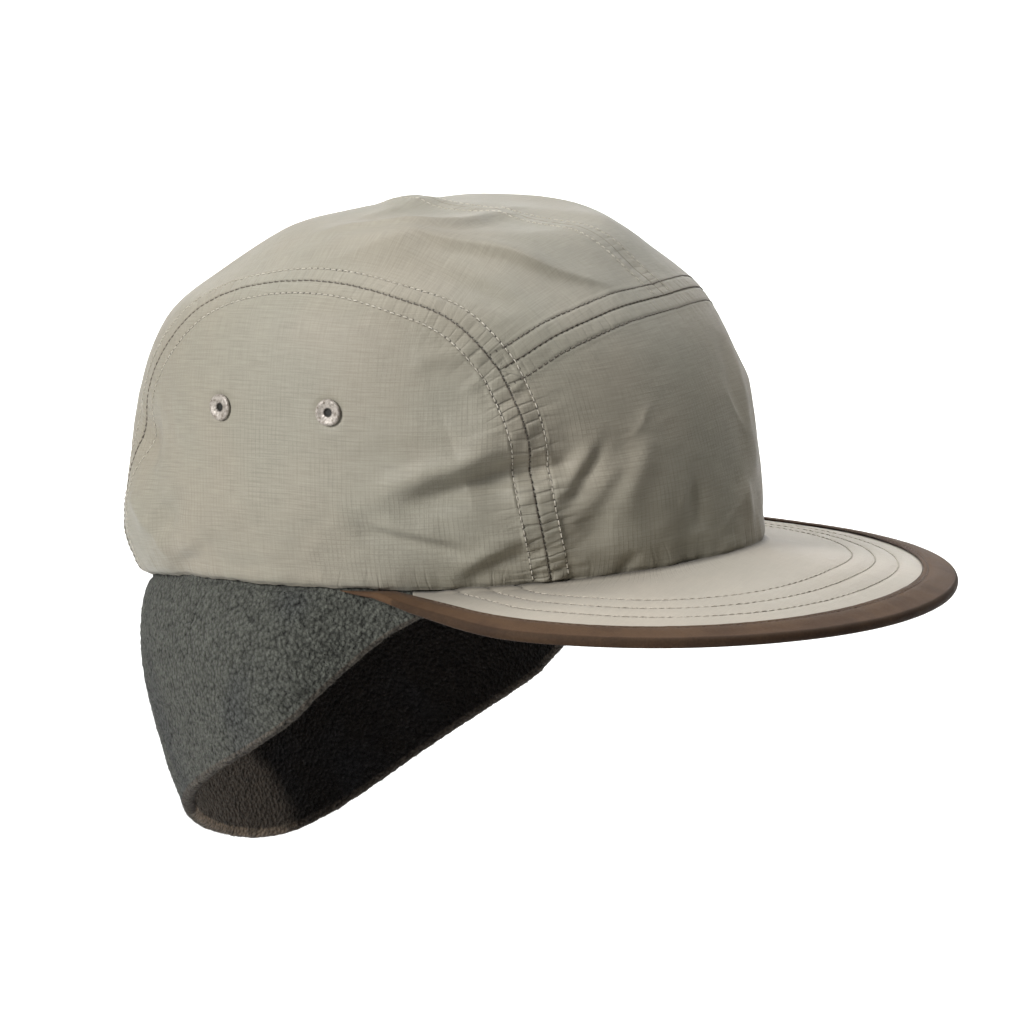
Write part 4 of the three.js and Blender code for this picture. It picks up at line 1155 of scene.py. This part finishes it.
# ------------------------------------------------------------ thread as tubes
def threads(name, paths):
    sides = 5
    V, F, U, base = [], [], [], 0
    turn = [(math.cos(2 * math.pi * i / sides), math.sin(2 * math.pi * i / sides)) for i in range(sides)]
    for q, m, radius in paths:
        d = unit(np.gradient(q, axis=0))
        x = unit(np.cross(m, d))
        y = np.cross(d, x)
        swell = np.array([0.75, 1.0, 1.05, 1.0, 0.75])[:, None] * radius
        for c, s in turn:
            V.append(q + (x * c + y * s) * swell)
        n = len(q)
        for i in range(sides):
            j = (i + 1) % sides
            for r in range(n - 1):
                F.append([base + i * n + r, base + i * n + r + 1, base + j * n + r + 1, base + j * n + r])
            U += [(r / (n - 1), i / sides) for r in range(n)]
        F.append([base + i * n for i in range(sides)])
        F.append([base + i * n + n - 1 for i in range(sides - 1, -1, -1)])
        base += sides * n
    ob = link(name, np.concatenate(V), F)
    fix_outward(ob)
    uv_map(ob, np.array(U), "strand")
    return ob


thread_pieces = {kind: threads("stitches_" + kind.split("_")[1], paths) for kind, paths in stitch_paths.items()}


# ------------------------------------------------------------------- materials
class Tree:
    """A short way to write a node tree."""

    def __init__(self, name):
        self.mat = bpy.data.materials.new(name)
        self.mat.use_nodes = True
        self.nodes, self.links = self.mat.node_tree.nodes, self.mat.node_tree.links
        self.nodes.clear()

    def add(self, kind, **fields):
        node = self.nodes.new(kind)
        for k, v in fields.items():
            setattr(node, k, v)
        return node

    def put(self, socket, value):
        if isinstance(value, bpy.types.NodeSocket):
            self.links.new(value, socket)
        elif isinstance(value, (tuple, list)) and len(value) == 3 and socket.type == "RGBA":
            socket.default_value = (*value, 1)
        else:
            socket.default_value = value

    def math(self, operation, a0, b0=None, c0=None, clamp=False):
        n = self.add("ShaderNodeMath", operation=operation, use_clamp=clamp)
        for i, v in enumerate((a0, b0, c0)):
            if v is not None:
                self.put(n.inputs[i], v)
        return n.outputs[0]

    def attr(self, name):
        return self.add("ShaderNodeAttribute", attribute_name=name, attribute_type="GEOMETRY").outputs["Fac"]

    def noise(self, vector, scale, detail=2.0, rough=0.5, out="Fac"):
        n = self.add("ShaderNodeTexNoise")
        self.put(n.inputs["Vector"], vector)
        n.inputs["Scale"].default_value = scale
        n.inputs["Detail"].default_value = detail
        n.inputs["Roughness"].default_value = rough
        return n.outputs[out]

    def ramp(self, value, lo, hi, to_lo=0.0, to_hi=1.0, kind="SMOOTHSTEP"):
        n = self.add("ShaderNodeMapRange", interpolation_type=kind)
        for k, v in zip((0, 1, 2, 3, 4), (value, lo, hi, to_lo, to_hi)):
            self.put(n.inputs[k], v)
        return n.outputs[0]

    def blend(self, factor, one, two, mode="MIX"):
        n = self.add("ShaderNodeMix", data_type="RGBA", blend_type=mode)
        self.put(n.inputs[0], factor)
        self.put(n.inputs[6], one)
        self.put(n.inputs[7], two)
        return n.outputs[2]

    def bump(self, height, strength, distance, normal=None):
        n = self.add("ShaderNodeBump")
        self.put(n.inputs["Height"], height)
        n.inputs["Strength"].default_value = strength
        n.inputs["Distance"].default_value = distance
        if normal is not None:
            self.put(n.inputs["Normal"], normal)
        return n.outputs[0]

    def shader(self, color, roughness, normal=None, **fixed):
        n = self.add("ShaderNodeBsdfPrincipled")
        self.put(n.inputs["Base Color"], color)
        self.put(n.inputs["Roughness"], roughness)
        if normal is not None:
            self.put(n.inputs["Normal"], normal)
        for k, v in fixed.items():
            self.put(n.inputs[k.replace("_", " ")], v)
        o = self.add("ShaderNodeOutputMaterial")
        self.links.new(n.outputs[0], o.inputs["Surface"])
        return self.mat


def srgb(r, g, b):
    return tuple(((c / 255) / 12.92 if c / 255 <= 0.04045 else ((c / 255 + 0.055) / 1.055) ** 2.4) for c in (r, g, b))


def ripstop(name, base, warm, cool, visor_face=False):
    t = Tree(name)
    uv = t.add("ShaderNodeUVMap", uv_map="cloth").outputs[0]
    obj = t.add("ShaderNodeTexCoord").outputs["Object"]
    sep = t.add("ShaderNodeSeparateXYZ")
    t.links.new(uv, sep.inputs[0])
    drift = t.noise(uv, 9.0, 1.0)
    x = t.math("ADD", t.math("MULTIPLY", sep.outputs[0], 100.0), t.math("MULTIPLY", t.math("SUBTRACT", drift, 0.5), 1.2))
    drift2 = t.noise(uv, 7.0, 1.0)
    y = t.math("ADD", t.math("MULTIPLY", sep.outputs[1], 100.0), t.math("MULTIPLY", t.math("SUBTRACT", drift2, 0.5), 1.2))
    lx = t.ramp(t.math("PINGPONG", x, 0.72), 0.10, 0.24, 1.0, 0.0)
    ly = t.ramp(t.math("PINGPONG", y, 0.72), 0.10, 0.24, 1.0, 0.0)
    # the upright rip lines come and go, the level ones are steadier
    fade_x = t.ramp(t.noise(uv, 3.1, 2.0, 0.6), 0.40, 0.62, 0.35, 1.0)
    fade_y = t.ramp(t.noise(uv, 4.3, 2.0, 0.6), 0.38, 0.62, 0.25, 0.8)
    lx, ly = t.math("MULTIPLY", lx, fade_x), t.math("MULTIPLY", ly, fade_y)
    line = t.math("MAXIMUM", t.math("MULTIPLY", lx, 0.9), ly)
    # the grid shows less on the crown's top, and hardly on the visor
    high = t.add("ShaderNodeSeparateXYZ")
    t.links.new(obj, high.inputs[0])
    line = t.math("MULTIPLY", line, 0.22 if visor_face else t.ramp(high.outputs[2], 0.045, 0.085, 1.0, 0.4))
    cross = t.math("MULTIPLY", lx, ly)
    # the plain weave between the rip lines
    wx = t.math("SINE", t.math("MULTIPLY", x, 2 * math.pi / 0.30))
    wy = t.math("SINE", t.math("MULTIPLY", y, 2 * math.pi / 0.30))
    weave = t.math("MULTIPLY", wx, wy)
    fibre = t.noise(obj, 2600.0, 2.0, 0.6)
    seam_d, row_d, row_at, rim_d = t.attr("seam_d"), t.attr("row_d"), t.attr("row_at"), t.attr("rim_d")
    # small creases square to the seams and along the hem, where the stitching gathers the cloth; they bump the cloth
    # and are darkened below as painted shade
    ladder = t.ramp(t.math("PINGPONG", t.attr("rung"), 0.5), 0.015, 0.17, 1.0, 0.0)
    gathered = t.math("ADD", t.ramp(seam_d, 4.9, 5.6, 1.0, 0.0), t.math("MULTIPLY", t.ramp(seam_d, 5.2, 13.0, 0.42, 0.0), t.ramp(seam_d, 4.9, 5.6)))
    ladder = t.math("MULTIPLY", t.math("MULTIPLY", ladder, gathered), t.math("MULTIPLY", t.attr("pull"), 0.7))
    hem = t.ramp(t.math("PINGPONG", t.attr("hem_rung"), 0.5), 0.015, 0.16, 1.0, 0.0)
    hem = t.math("MULTIPLY", hem, t.math("MULTIPLY", t.attr("hem_pull"), t.ramp(rim_d, 0.5, 12.0, 0.6, 0.0)))
    ladder = t.math("MAXIMUM", ladder, hem)
    # needle holes along the stitch rows, and the grooves of the rows and seams; all are darkened below as painted shade
    at_hole = t.ramp(t.math("PINGPONG", row_at, 0.5), 0.04, 0.17, 1.0, 0.0)
    on_row = t.ramp(row_d, 0.22, 0.42, 1.0, 0.0)
    hole = t.math("MULTIPLY", at_hole, on_row)
    near_row = t.ramp(row_d, 0.1, 0.8, 1.0, 0.0)
    seam_dark = t.ramp(seam_d, 0.03, 0.38, 1.0, 0.0)
    # colour: slow changes of hue, thread streaks, the rip grid and darker patches at random; then painted shade in
    # creases, grooves and holes
    slow = t.noise(obj, 16.0, 3.0, 0.55)
    colour = t.blend(t.ramp(slow, 0.36, 0.64), cool, warm)
    patch = t.noise(obj, 47.0, 3.0, 0.6)
    colour = t.blend(t.ramp(patch, 0.3, 0.7, 0.0, 0.16), colour, tuple(c * 0.82 for c in base))
    stretch = t.add("ShaderNodeMapping")
    t.links.new(uv, stretch.inputs["Vector"])
    stretch.inputs["Scale"].default_value = (12.0, 240.0, 1.0)
    streak = t.noise(stretch.outputs[0], 1.0, 2.0)
    stretch2 = t.add("ShaderNodeMapping")
    t.links.new(uv, stretch2.inputs["Vector"])
    stretch2.inputs["Scale"].default_value = (240.0, 12.0, 1.0)
    streak2 = t.noise(stretch2.outputs[0], 1.0, 2.0)
    rough_threads = 0.035 if visor_face else 0.085
    threads_tone = t.math("ADD", t.ramp(streak, 0.3, 0.7, -rough_threads, rough_threads, "LINEAR"),
                          t.ramp(streak2, 0.3, 0.7, -0.6 * rough_threads, 0.6 * rough_threads, "LINEAR"))
    shade = t.math("ADD", 1.0, threads_tone)
    shade = t.math("SUBTRACT", shade, t.math("MULTIPLY", line, 0.13))
    # painted shade in the small creases by the seams and the hem
    shade = t.math("SUBTRACT", shade, t.math("MULTIPLY", ladder, 0.17))
    shade = t.math("SUBTRACT", shade, t.math("MULTIPLY", cross, -0.05))
    shade = t.math("ADD", shade, t.math("MULTIPLY", weave, 0.03))
    # painted shade in the seam's groove, deeper where the cloth is gathered
    shade = t.math("SUBTRACT", shade, t.math("MULTIPLY", seam_dark, t.ramp(t.attr("pull"), 0.35, 0.9, 0.12, 0.26)))
    # painted shade along the stitch rows' grooves and in the needle holes
    shade = t.math("SUBTRACT", shade, t.math("MULTIPLY", near_row, 0.07))
    shade = t.math("MULTIPLY", shade, t.math("SUBTRACT", 1.0, t.math("MULTIPLY", hole, 0.45 if visor_face else 0.72)))
    # painted shade inside the eyelets, where the cloth is not cut, and a painted contact shadow where the visor goes in
    # under the hem
    shade = t.math("MULTIPLY", shade, t.ramp(t.attr("hole_d"), 1.3, 1.7, 0.06, 1.0))
    if visor_face:
        shade = t.math("MULTIPLY", shade, t.ramp(rim_d, 0.2, 2.3, 0.4, 1.0))
        # painted shadow of the crown, darkening the visor towards the crown
        shade = t.math("MULTIPLY", shade, t.ramp(rim_d, 0.0, 30.0, 0.87, 1.0))
    tone = t.add("ShaderNodeCombineXYZ")
    for i in range(3):
        t.links.new(shade, tone.inputs[i])
    colour = t.blend(1.0, colour, tone.outputs[0], "MULTIPLY")
    height = t.math("ADD", t.math("MULTIPLY", line, 0.55), t.math("MULTIPLY", weave, 0.16))
    height = t.math("ADD", height, t.math("MULTIPLY", fibre, 0.22))
    height = t.math("SUBTRACT", height, t.math("MULTIPLY", hole, 2.2))
    crinkle = t.noise(obj, 210.0, 3.0, 0.62)
    normal = t.bump(crinkle, 0.32, 0.00045)
    normal = t.bump(t.math("MULTIPLY", ladder, -1.0), 0.7, 0.0004, normal)
    normal = t.bump(height, 0.55, 0.00009, normal)
    rough = t.math("ADD", 0.56, t.math("MULTIPLY", t.math("SUBTRACT", fibre, 0.5), 0.2))
    rough = t.math("ADD", rough, t.math("MULTIPLY", line, -0.05))
    return t.shader(colour, rough, normal, Sheen_Weight=0.14, Sheen_Roughness=0.45, Specular_IOR_Level=0.34)


def fleece_material(name):
    t = Tree(name)
    obj = t.add("ShaderNodeTexCoord").outputs["Object"]
    inner, lip, pile = t.attr("inner"), t.attr("lip"), t.attr("pile")
    # the inner face's colour is its own browner tone, made much darker as painted shade for the inside of the flap
    outer_c, inner_shaded_c = srgb(106, 108, 100), srgb(40, 34, 29)
    colour = t.blend(t.ramp(inner, 0.3, 0.8), outer_c, inner_shaded_c)
    blue = t.noise(obj, 26.0, 2.0, 0.5)
    colour = t.blend(t.ramp(blue, 0.52, 0.7, 0.0, 0.4), colour, srgb(62, 66, 74))
    # painted highlight: the turned lip is lighter and browner, as if lit along the edge
    colour = t.blend(t.math("MULTIPLY", t.ramp(lip, 0.75, 0.98), 0.6), colour, srgb(112, 100, 88))
    curls = t.add("ShaderNodeTexVoronoi", feature="F1")
    t.put(curls.inputs["Vector"], obj)
    curls.inputs["Scale"].default_value = 760.0
    curl = curls.outputs["Distance"]
    knots = t.noise(obj, 800.0, 3.0, 0.65)
    fibres = t.noise(obj, 2300.0, 3.0, 0.75)
    # painted shade in the hollows of the pile, lighter on the raised pebbles
    shade = t.math("ADD", 0.56, t.ramp(pile, -0.3, 0.35, 0.0, 0.58, "LINEAR"))
    shade = t.math("ADD", shade, t.ramp(knots, 0.3, 0.7, -0.2, 0.2, "LINEAR"))
    shade = t.math("ADD", shade, t.ramp(fibres, 0.3, 0.7, -0.3, 0.3, "LINEAR"))
    # painted shade where the curls meet
    shade = t.math("SUBTRACT", shade, t.ramp(curl, 0.25, 0.75, 0.0, 0.34))
    tone = t.add("ShaderNodeCombineXYZ")
    for i in range(3):
        t.links.new(shade, tone.inputs[i])
    colour = t.blend(1.0, colour, tone.outputs[0], "MULTIPLY")
    normal = t.bump(t.math("SUBTRACT", t.math("MULTIPLY", knots, 0.8), t.math("MULTIPLY", curl, 0.8)), 1.0, 0.0018)
    normal = t.bump(fibres, 0.8, 0.0004, normal)
    return t.shader(colour, 0.95, normal, Sheen_Weight=0.12, Sheen_Roughness=0.6, Specular_IOR_Level=0.05)


def tape_material(name):
    t = Tree(name)
    uv = t.add("ShaderNodeUVMap", uv_map="cloth").outputs[0]
    obj = t.add("ShaderNodeTexCoord").outputs["Object"]
    sep = t.add("ShaderNodeSeparateXYZ")
    t.links.new(uv, sep.inputs[0])
    x, y = t.math("MULTIPLY", sep.outputs[0], 100.0), t.math("MULTIPLY", sep.outputs[1], 100.0)
    rib = t.math("SINE", t.math("MULTIPLY", x, 2 * math.pi / 0.42))
    fill = t.math("SINE", t.math("MULTIPLY", y, 2 * math.pi / 0.36))
    grain = t.noise(obj, 1500.0, 3.0, 0.65)
    slow = t.noise(obj, 60.0, 3.0, 0.6)
    colour = t.blend(t.ramp(slow, 0.35, 0.65), srgb(77, 56, 39), srgb(89, 66, 46))
    from_inner = t.attr("from_inner")
    shade = t.math("ADD", 1.0, t.math("MULTIPLY", t.math("MULTIPLY", rib, fill), 0.05))
    shade = t.math("ADD", shade, t.ramp(grain, 0.3, 0.7, -0.10, 0.10, "LINEAR"))
    # painted shade in the stitching groove, along the tape's inner edge, and over its rounded outer edge and underside
    shade = t.math("SUBTRACT", shade, t.ramp(t.math("ABSOLUTE", t.math("SUBTRACT", from_inner, 1.7)), 0.1, 0.9, 0.26, 0.0))
    shade = t.math("SUBTRACT", shade, t.ramp(from_inner, 0.1, 0.8, 0.5, 0.0))
    shade = t.math("SUBTRACT", shade, t.ramp(from_inner, TAPE_WIDTH - 1.5, TAPE_WIDTH - 0.5, 0.0, 0.42))
    tone = t.add("ShaderNodeCombineXYZ")
    for i in range(3):
        t.links.new(shade, tone.inputs[i])
    colour = t.blend(1.0, colour, tone.outputs[0], "MULTIPLY")
    height = t.math("ADD", t.math("MULTIPLY", rib, 0.5), t.math("MULTIPLY", fill, 0.25))
    height = t.math("ADD", height, t.math("MULTIPLY", grain, 0.8))
    normal = t.bump(t.noise(obj, 330.0, 2.0, 0.6), 0.25, 0.0003)
    normal = t.bump(height, 0.5, 0.00008, normal)
    return t.shader(colour, 0.66, normal, Sheen_Weight=0.05, Sheen_Roughness=0.4, Specular_IOR_Level=0.22)


def enamel_material(name):
    t = Tree(name)
    obj = t.add("ShaderNodeTexCoord").outputs["Object"]
    radius, height = t.attr("radius"), t.attr("height")
    blot = t.noise(obj, 950.0, 3.0, 0.65)
    fine = t.noise(obj, 3200.0, 2.0, 0.6)
    colour = t.blend(t.ramp(blot, 0.38, 0.66), srgb(186, 178, 169), srgb(140, 132, 123))
    # the paint is worn through on the raised ring; the hole's inner barrel is painted dark as shade, and the low parts
    # are darker
    worn = t.math("MULTIPLY", t.ramp(blot, 0.56, 0.64), t.ramp(height, 0.75, 0.98))
    colour = t.blend(t.math("MULTIPLY", worn, 0.6), colour, srgb(120, 108, 92))
    # painted shade down the eyelet's hole
    hole_shade = t.ramp(radius, 1.1, 1.75, 0.85, 0.0)
    colour = t.blend(hole_shade, colour, srgb(42, 38, 34))
    # darker where the eyelet lies low, by the cloth and down the hole
    low_dark = t.ramp(height, 0.0, 0.4, 0.6, 0.0)
    colour = t.blend(low_dark, colour, srgb(84, 78, 70))
    normal = t.bump(blot, 0.45, 0.0003)
    normal = t.bump(fine, 0.35, 0.00006, normal)
    rough = t.ramp(blot, 0.3, 0.7, 0.34, 0.55, "LINEAR")
    return t.shader(colour, rough, normal, Metallic=0.15, Specular_IOR_Level=0.5)


def thread_material(name, one, two, rough=0.55):
    t = Tree(name)
    uv = t.add("ShaderNodeUVMap", uv_map="strand").outputs[0]
    obj = t.add("ShaderNodeTexCoord").outputs["Object"]
    sep = t.add("ShaderNodeSeparateXYZ")
    t.links.new(uv, sep.inputs[0])
    twist = t.math("SINE", t.math("ADD", t.math("MULTIPLY", sep.outputs[0], 26.0), t.math("MULTIPLY", sep.outputs[1], 2 * math.pi)))
    tone = t.noise(obj, 240.0, 2.0, 0.5)
    colour = t.blend(t.ramp(tone, 0.35, 0.65), one, two)
    # painted shade: each stitch darkens towards its ends, where it goes down into the cloth
    ends = t.ramp(t.math("PINGPONG", sep.outputs[0], 0.5), 0.0, 0.16, 0.45, 1.0)
    shade = t.math("MULTIPLY", ends, t.math("ADD", 0.94, t.math("MULTIPLY", twist, 0.07)))
    mixed = t.add("ShaderNodeCombineXYZ")
    for i in range(3):
        t.links.new(shade, mixed.inputs[i])
    colour = t.blend(1.0, colour, mixed.outputs[0], "MULTIPLY")
    normal = t.bump(twist, 0.5, 0.00006)
    return t.shader(colour, rough, normal, Sheen_Weight=0.2, Sheen_Roughness=0.4, Specular_IOR_Level=0.35)


crown_cloth = ripstop("ripstop_crown", srgb(156, 150, 136), srgb(158, 151, 136), srgb(154, 150, 136))
visor_cloth = ripstop("ripstop_visor", srgb(183, 175, 161), srgb(186, 177, 163), srgb(181, 174, 161), True)
fleece = fleece_material("fleece_pile")
tape = tape_material("binding_tape")
enamel = enamel_material("eyelet_enamel")
light_thread = thread_material("thread_light", srgb(214, 208, 194), srgb(194, 187, 172))
# a darker copy of the light thread, as painted shade, for rows in the seams' grooves and along the front seam
shaded_thread = thread_material("thread_dark", srgb(112, 104, 92), srgb(92, 84, 74))
visor_thread = thread_material("thread_visor", srgb(208, 200, 186), srgb(184, 176, 162))
tape_thread = thread_material("thread_tape", srgb(110, 90, 74), srgb(90, 72, 58))

SLOTS = {"ripstop": crown_cloth, "visor_cloth": visor_cloth, "binding_tape": tape, "fleece": fleece, "eyelet_enamel": enamel}


def finish_piece(ob, material, slot, *nodes):
    ob.data.materials.clear()
    ob.data.materials.append(material)
    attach(ob, "root")
    if nodes:
        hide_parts(*nodes)


for node in ("front_panel", "side_panel_right", "side_panel_left", "top_panel_right", "top_panel_left"):
    finish_piece(pieces[node], crown_cloth, "ripstop", node)
finish_piece(pieces["brim"], visor_cloth, "visor_cloth", "brim")
finish_piece(pieces["brim_binding"], tape, "binding_tape", "brim_binding")
finish_piece(pieces["ear_flap"], fleece, "fleece", "ear_flap")
finish_piece(pieces["fuzz"], fleece, "fleece")
for side_name in ("right", "left"):
    for where in EYELETS:
        key = f"eyelet_{side_name}_{where}"
        finish_piece(pieces[key], enamel, "eyelet_enamel", key)
finish_piece(thread_pieces["thread_light"], light_thread, "thread_light")
finish_piece(thread_pieces["thread_dark"], shaded_thread, "thread_dark")
finish_piece(thread_pieces["thread_visor"], visor_thread, "thread_light")
finish_piece(thread_pieces["thread_tape"], tape_thread, "thread_dark")
# the hidden solids keep a finish too
for node, slot_name in (("front_panel", "ripstop"), ("brim", "visor_cloth"), ("brim_binding", "binding_tape"), ("ear_flap", "fleece")):
    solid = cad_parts[node]
    for s in solid.material_slots:
        s.material = SLOTS[slot_name]

# ------------------------------------------------- the panels' cloth spans, read as width and length
NEIGHBOURS = {
    "front_panel": ["side_panel_right", "side_panel_left", "top_panel_right", "top_panel_left"],
    "side_panel_right": ["front_panel", "top_panel_right"],
    "side_panel_left": ["front_panel", "top_panel_left"],
    "top_panel_right": ["side_panel_right", "top_panel_left", "front_panel"],
    "top_panel_left": ["side_panel_left", "top_panel_right", "front_panel"],
}
for node, rests in NEIGHBOURS.items():
    area, span = areas[node]
    width, length = float(span[0]), float(span[1])

# ---------------------------------------------------------------- stage, lights
FLOOR_Z = -0.285


def stage_floor():
    """A pale floor that bends up into a wall far behind the cap."""
    away = Vector((-back.x, -back.y, 0)).normalized()
    across = Vector((away.y, -away.x, 0))
    profile = [(x, 0.0) for x in (-1.6, -1.0, -0.4, 0.0, 0.1, 0.2, 0.3, 0.4, 0.8, 1.6, 2.2)]
    profile += [(2.2 + 0.8 * math.sin(t), 0.8 * (1 - math.cos(t))) for t in np.linspace(0.1, math.pi / 2, 14)] + [(3.0, 1.2)]
    verts, faces, pale = [], [], []
    for d, h in profile:
        for w in (-1.25, 1.25):
            q = away * d + across * w
            verts.append((q.x, q.y, FLOOR_Z + h))
            pale.append(float(smooth(np.array(d), 0.0, 0.4)))
    for i in range(len(profile) - 1):
        faces.append((2 * i, 2 * i + 1, 2 * i + 3, 2 * i + 2))
    me = bpy.data.meshes.new("floor")
    me.from_pydata(verts, [], faces)
    me.polygons.foreach_set("use_smooth", [True] * len(faces))
    ob = bpy.data.objects.new("floor", me)
    bpy.context.scene.collection.objects.link(ob)
    t = Tree("floor_paper")
    attribute(ob, "pale", pale)
    obj = t.add("ShaderNodeTexCoord").outputs["Object"]
    tone = t.ramp(t.noise(obj, 3.0, 2.0), 0.3, 0.7)
    near_c, far_c = t.blend(tone, (0.56, 0.56, 0.558), (0.59, 0.59, 0.588)), t.blend(tone, (0.92, 0.92, 0.918), (0.94, 0.94, 0.938))
    me.materials.append(t.shader(t.blend(t.attr("pale"), near_c, far_c), 0.9, None, Specular_IOR_Level=0.1))


stage_floor()


def area_light(name, direction, distance, size, power, colour=(1, 1, 1), target=(0.0, -0.01, 0.02), size_y=None):
    data = bpy.data.lights.new(name, "AREA")
    data.energy, data.color = power, colour
    data.shape, data.size = ("RECTANGLE" if size_y else "SQUARE"), size
    if size_y:
        data.size_y = size_y
    ob = bpy.data.objects.new(name, data)
    bpy.context.scene.collection.objects.link(ob)
    d = Vector(direction).normalized()
    ob.location = Vector(target) + d * distance
    ob.rotation_euler = d.to_track_quat("Z", "Y").to_euler()
    return ob


def from_view(x, y, z):
    """A direction given as right, up and towards the camera, as seen in the picture."""
    return right * x + upward * y + back * z


area_light("key", (-0.85, 0.35, 0.42), 2.2, 0.75, 50, (1.0, 0.995, 0.985))
area_light("top_front", (0.3, -0.3, 0.9), 2.4, 1.6, 38, (0.99, 0.995, 1.0))
area_light("top_back", (0.2, 0.4, 0.9), 2.4, 1.6, 20, (0.99, 0.995, 1.0))
# two lights on the paper behind the cap, turned away from it
away = Vector((-back.x, -back.y, 0)).normalized()
for name, w in (("paper_right", 1.0), ("paper_left", -1.0)):
    spot = away * 1.9 + right * w + Vector((0, 0, FLOOR_Z + 1.3))
    aim = away * 2.7 + right * w * 0.2 + Vector((0, 0, FLOOR_Z + 0.1))
    area_light(name, spot - aim, (spot - aim).length, 0.9, 34, target=aim)
# a narrow light from low in front reaches into the flap
data = bpy.data.lights.new("low_spot", "SPOT")
data.energy, data.spot_size, data.spot_blend, data.shadow_soft_size = 125.0, math.radians(2.25), 0.12, 0.003
data.color = (1.0, 0.92, 0.80)
low_spot = bpy.data.objects.new("low_spot", data)
bpy.context.scene.collection.objects.link(low_spot)
patch_place = Vector((0.0018, 0.0778, -0.0995))
d = Vector((0.30, -0.94, -0.12)).normalized()
low_spot.location = patch_place + d * 1.5
low_spot.rotation_euler = d.to_track_quat("Z", "Y").to_euler()
world = bpy.data.worlds.new("studio")
bpy.context.scene.world = world
world.use_nodes = True
world.node_tree.nodes["Background"].inputs["Color"].default_value = (1, 1, 1, 1)
world.node_tree.nodes["Background"].inputs["Strength"].default_value = 0.02
bpy.context.scene.view_settings.view_transform = "Standard"
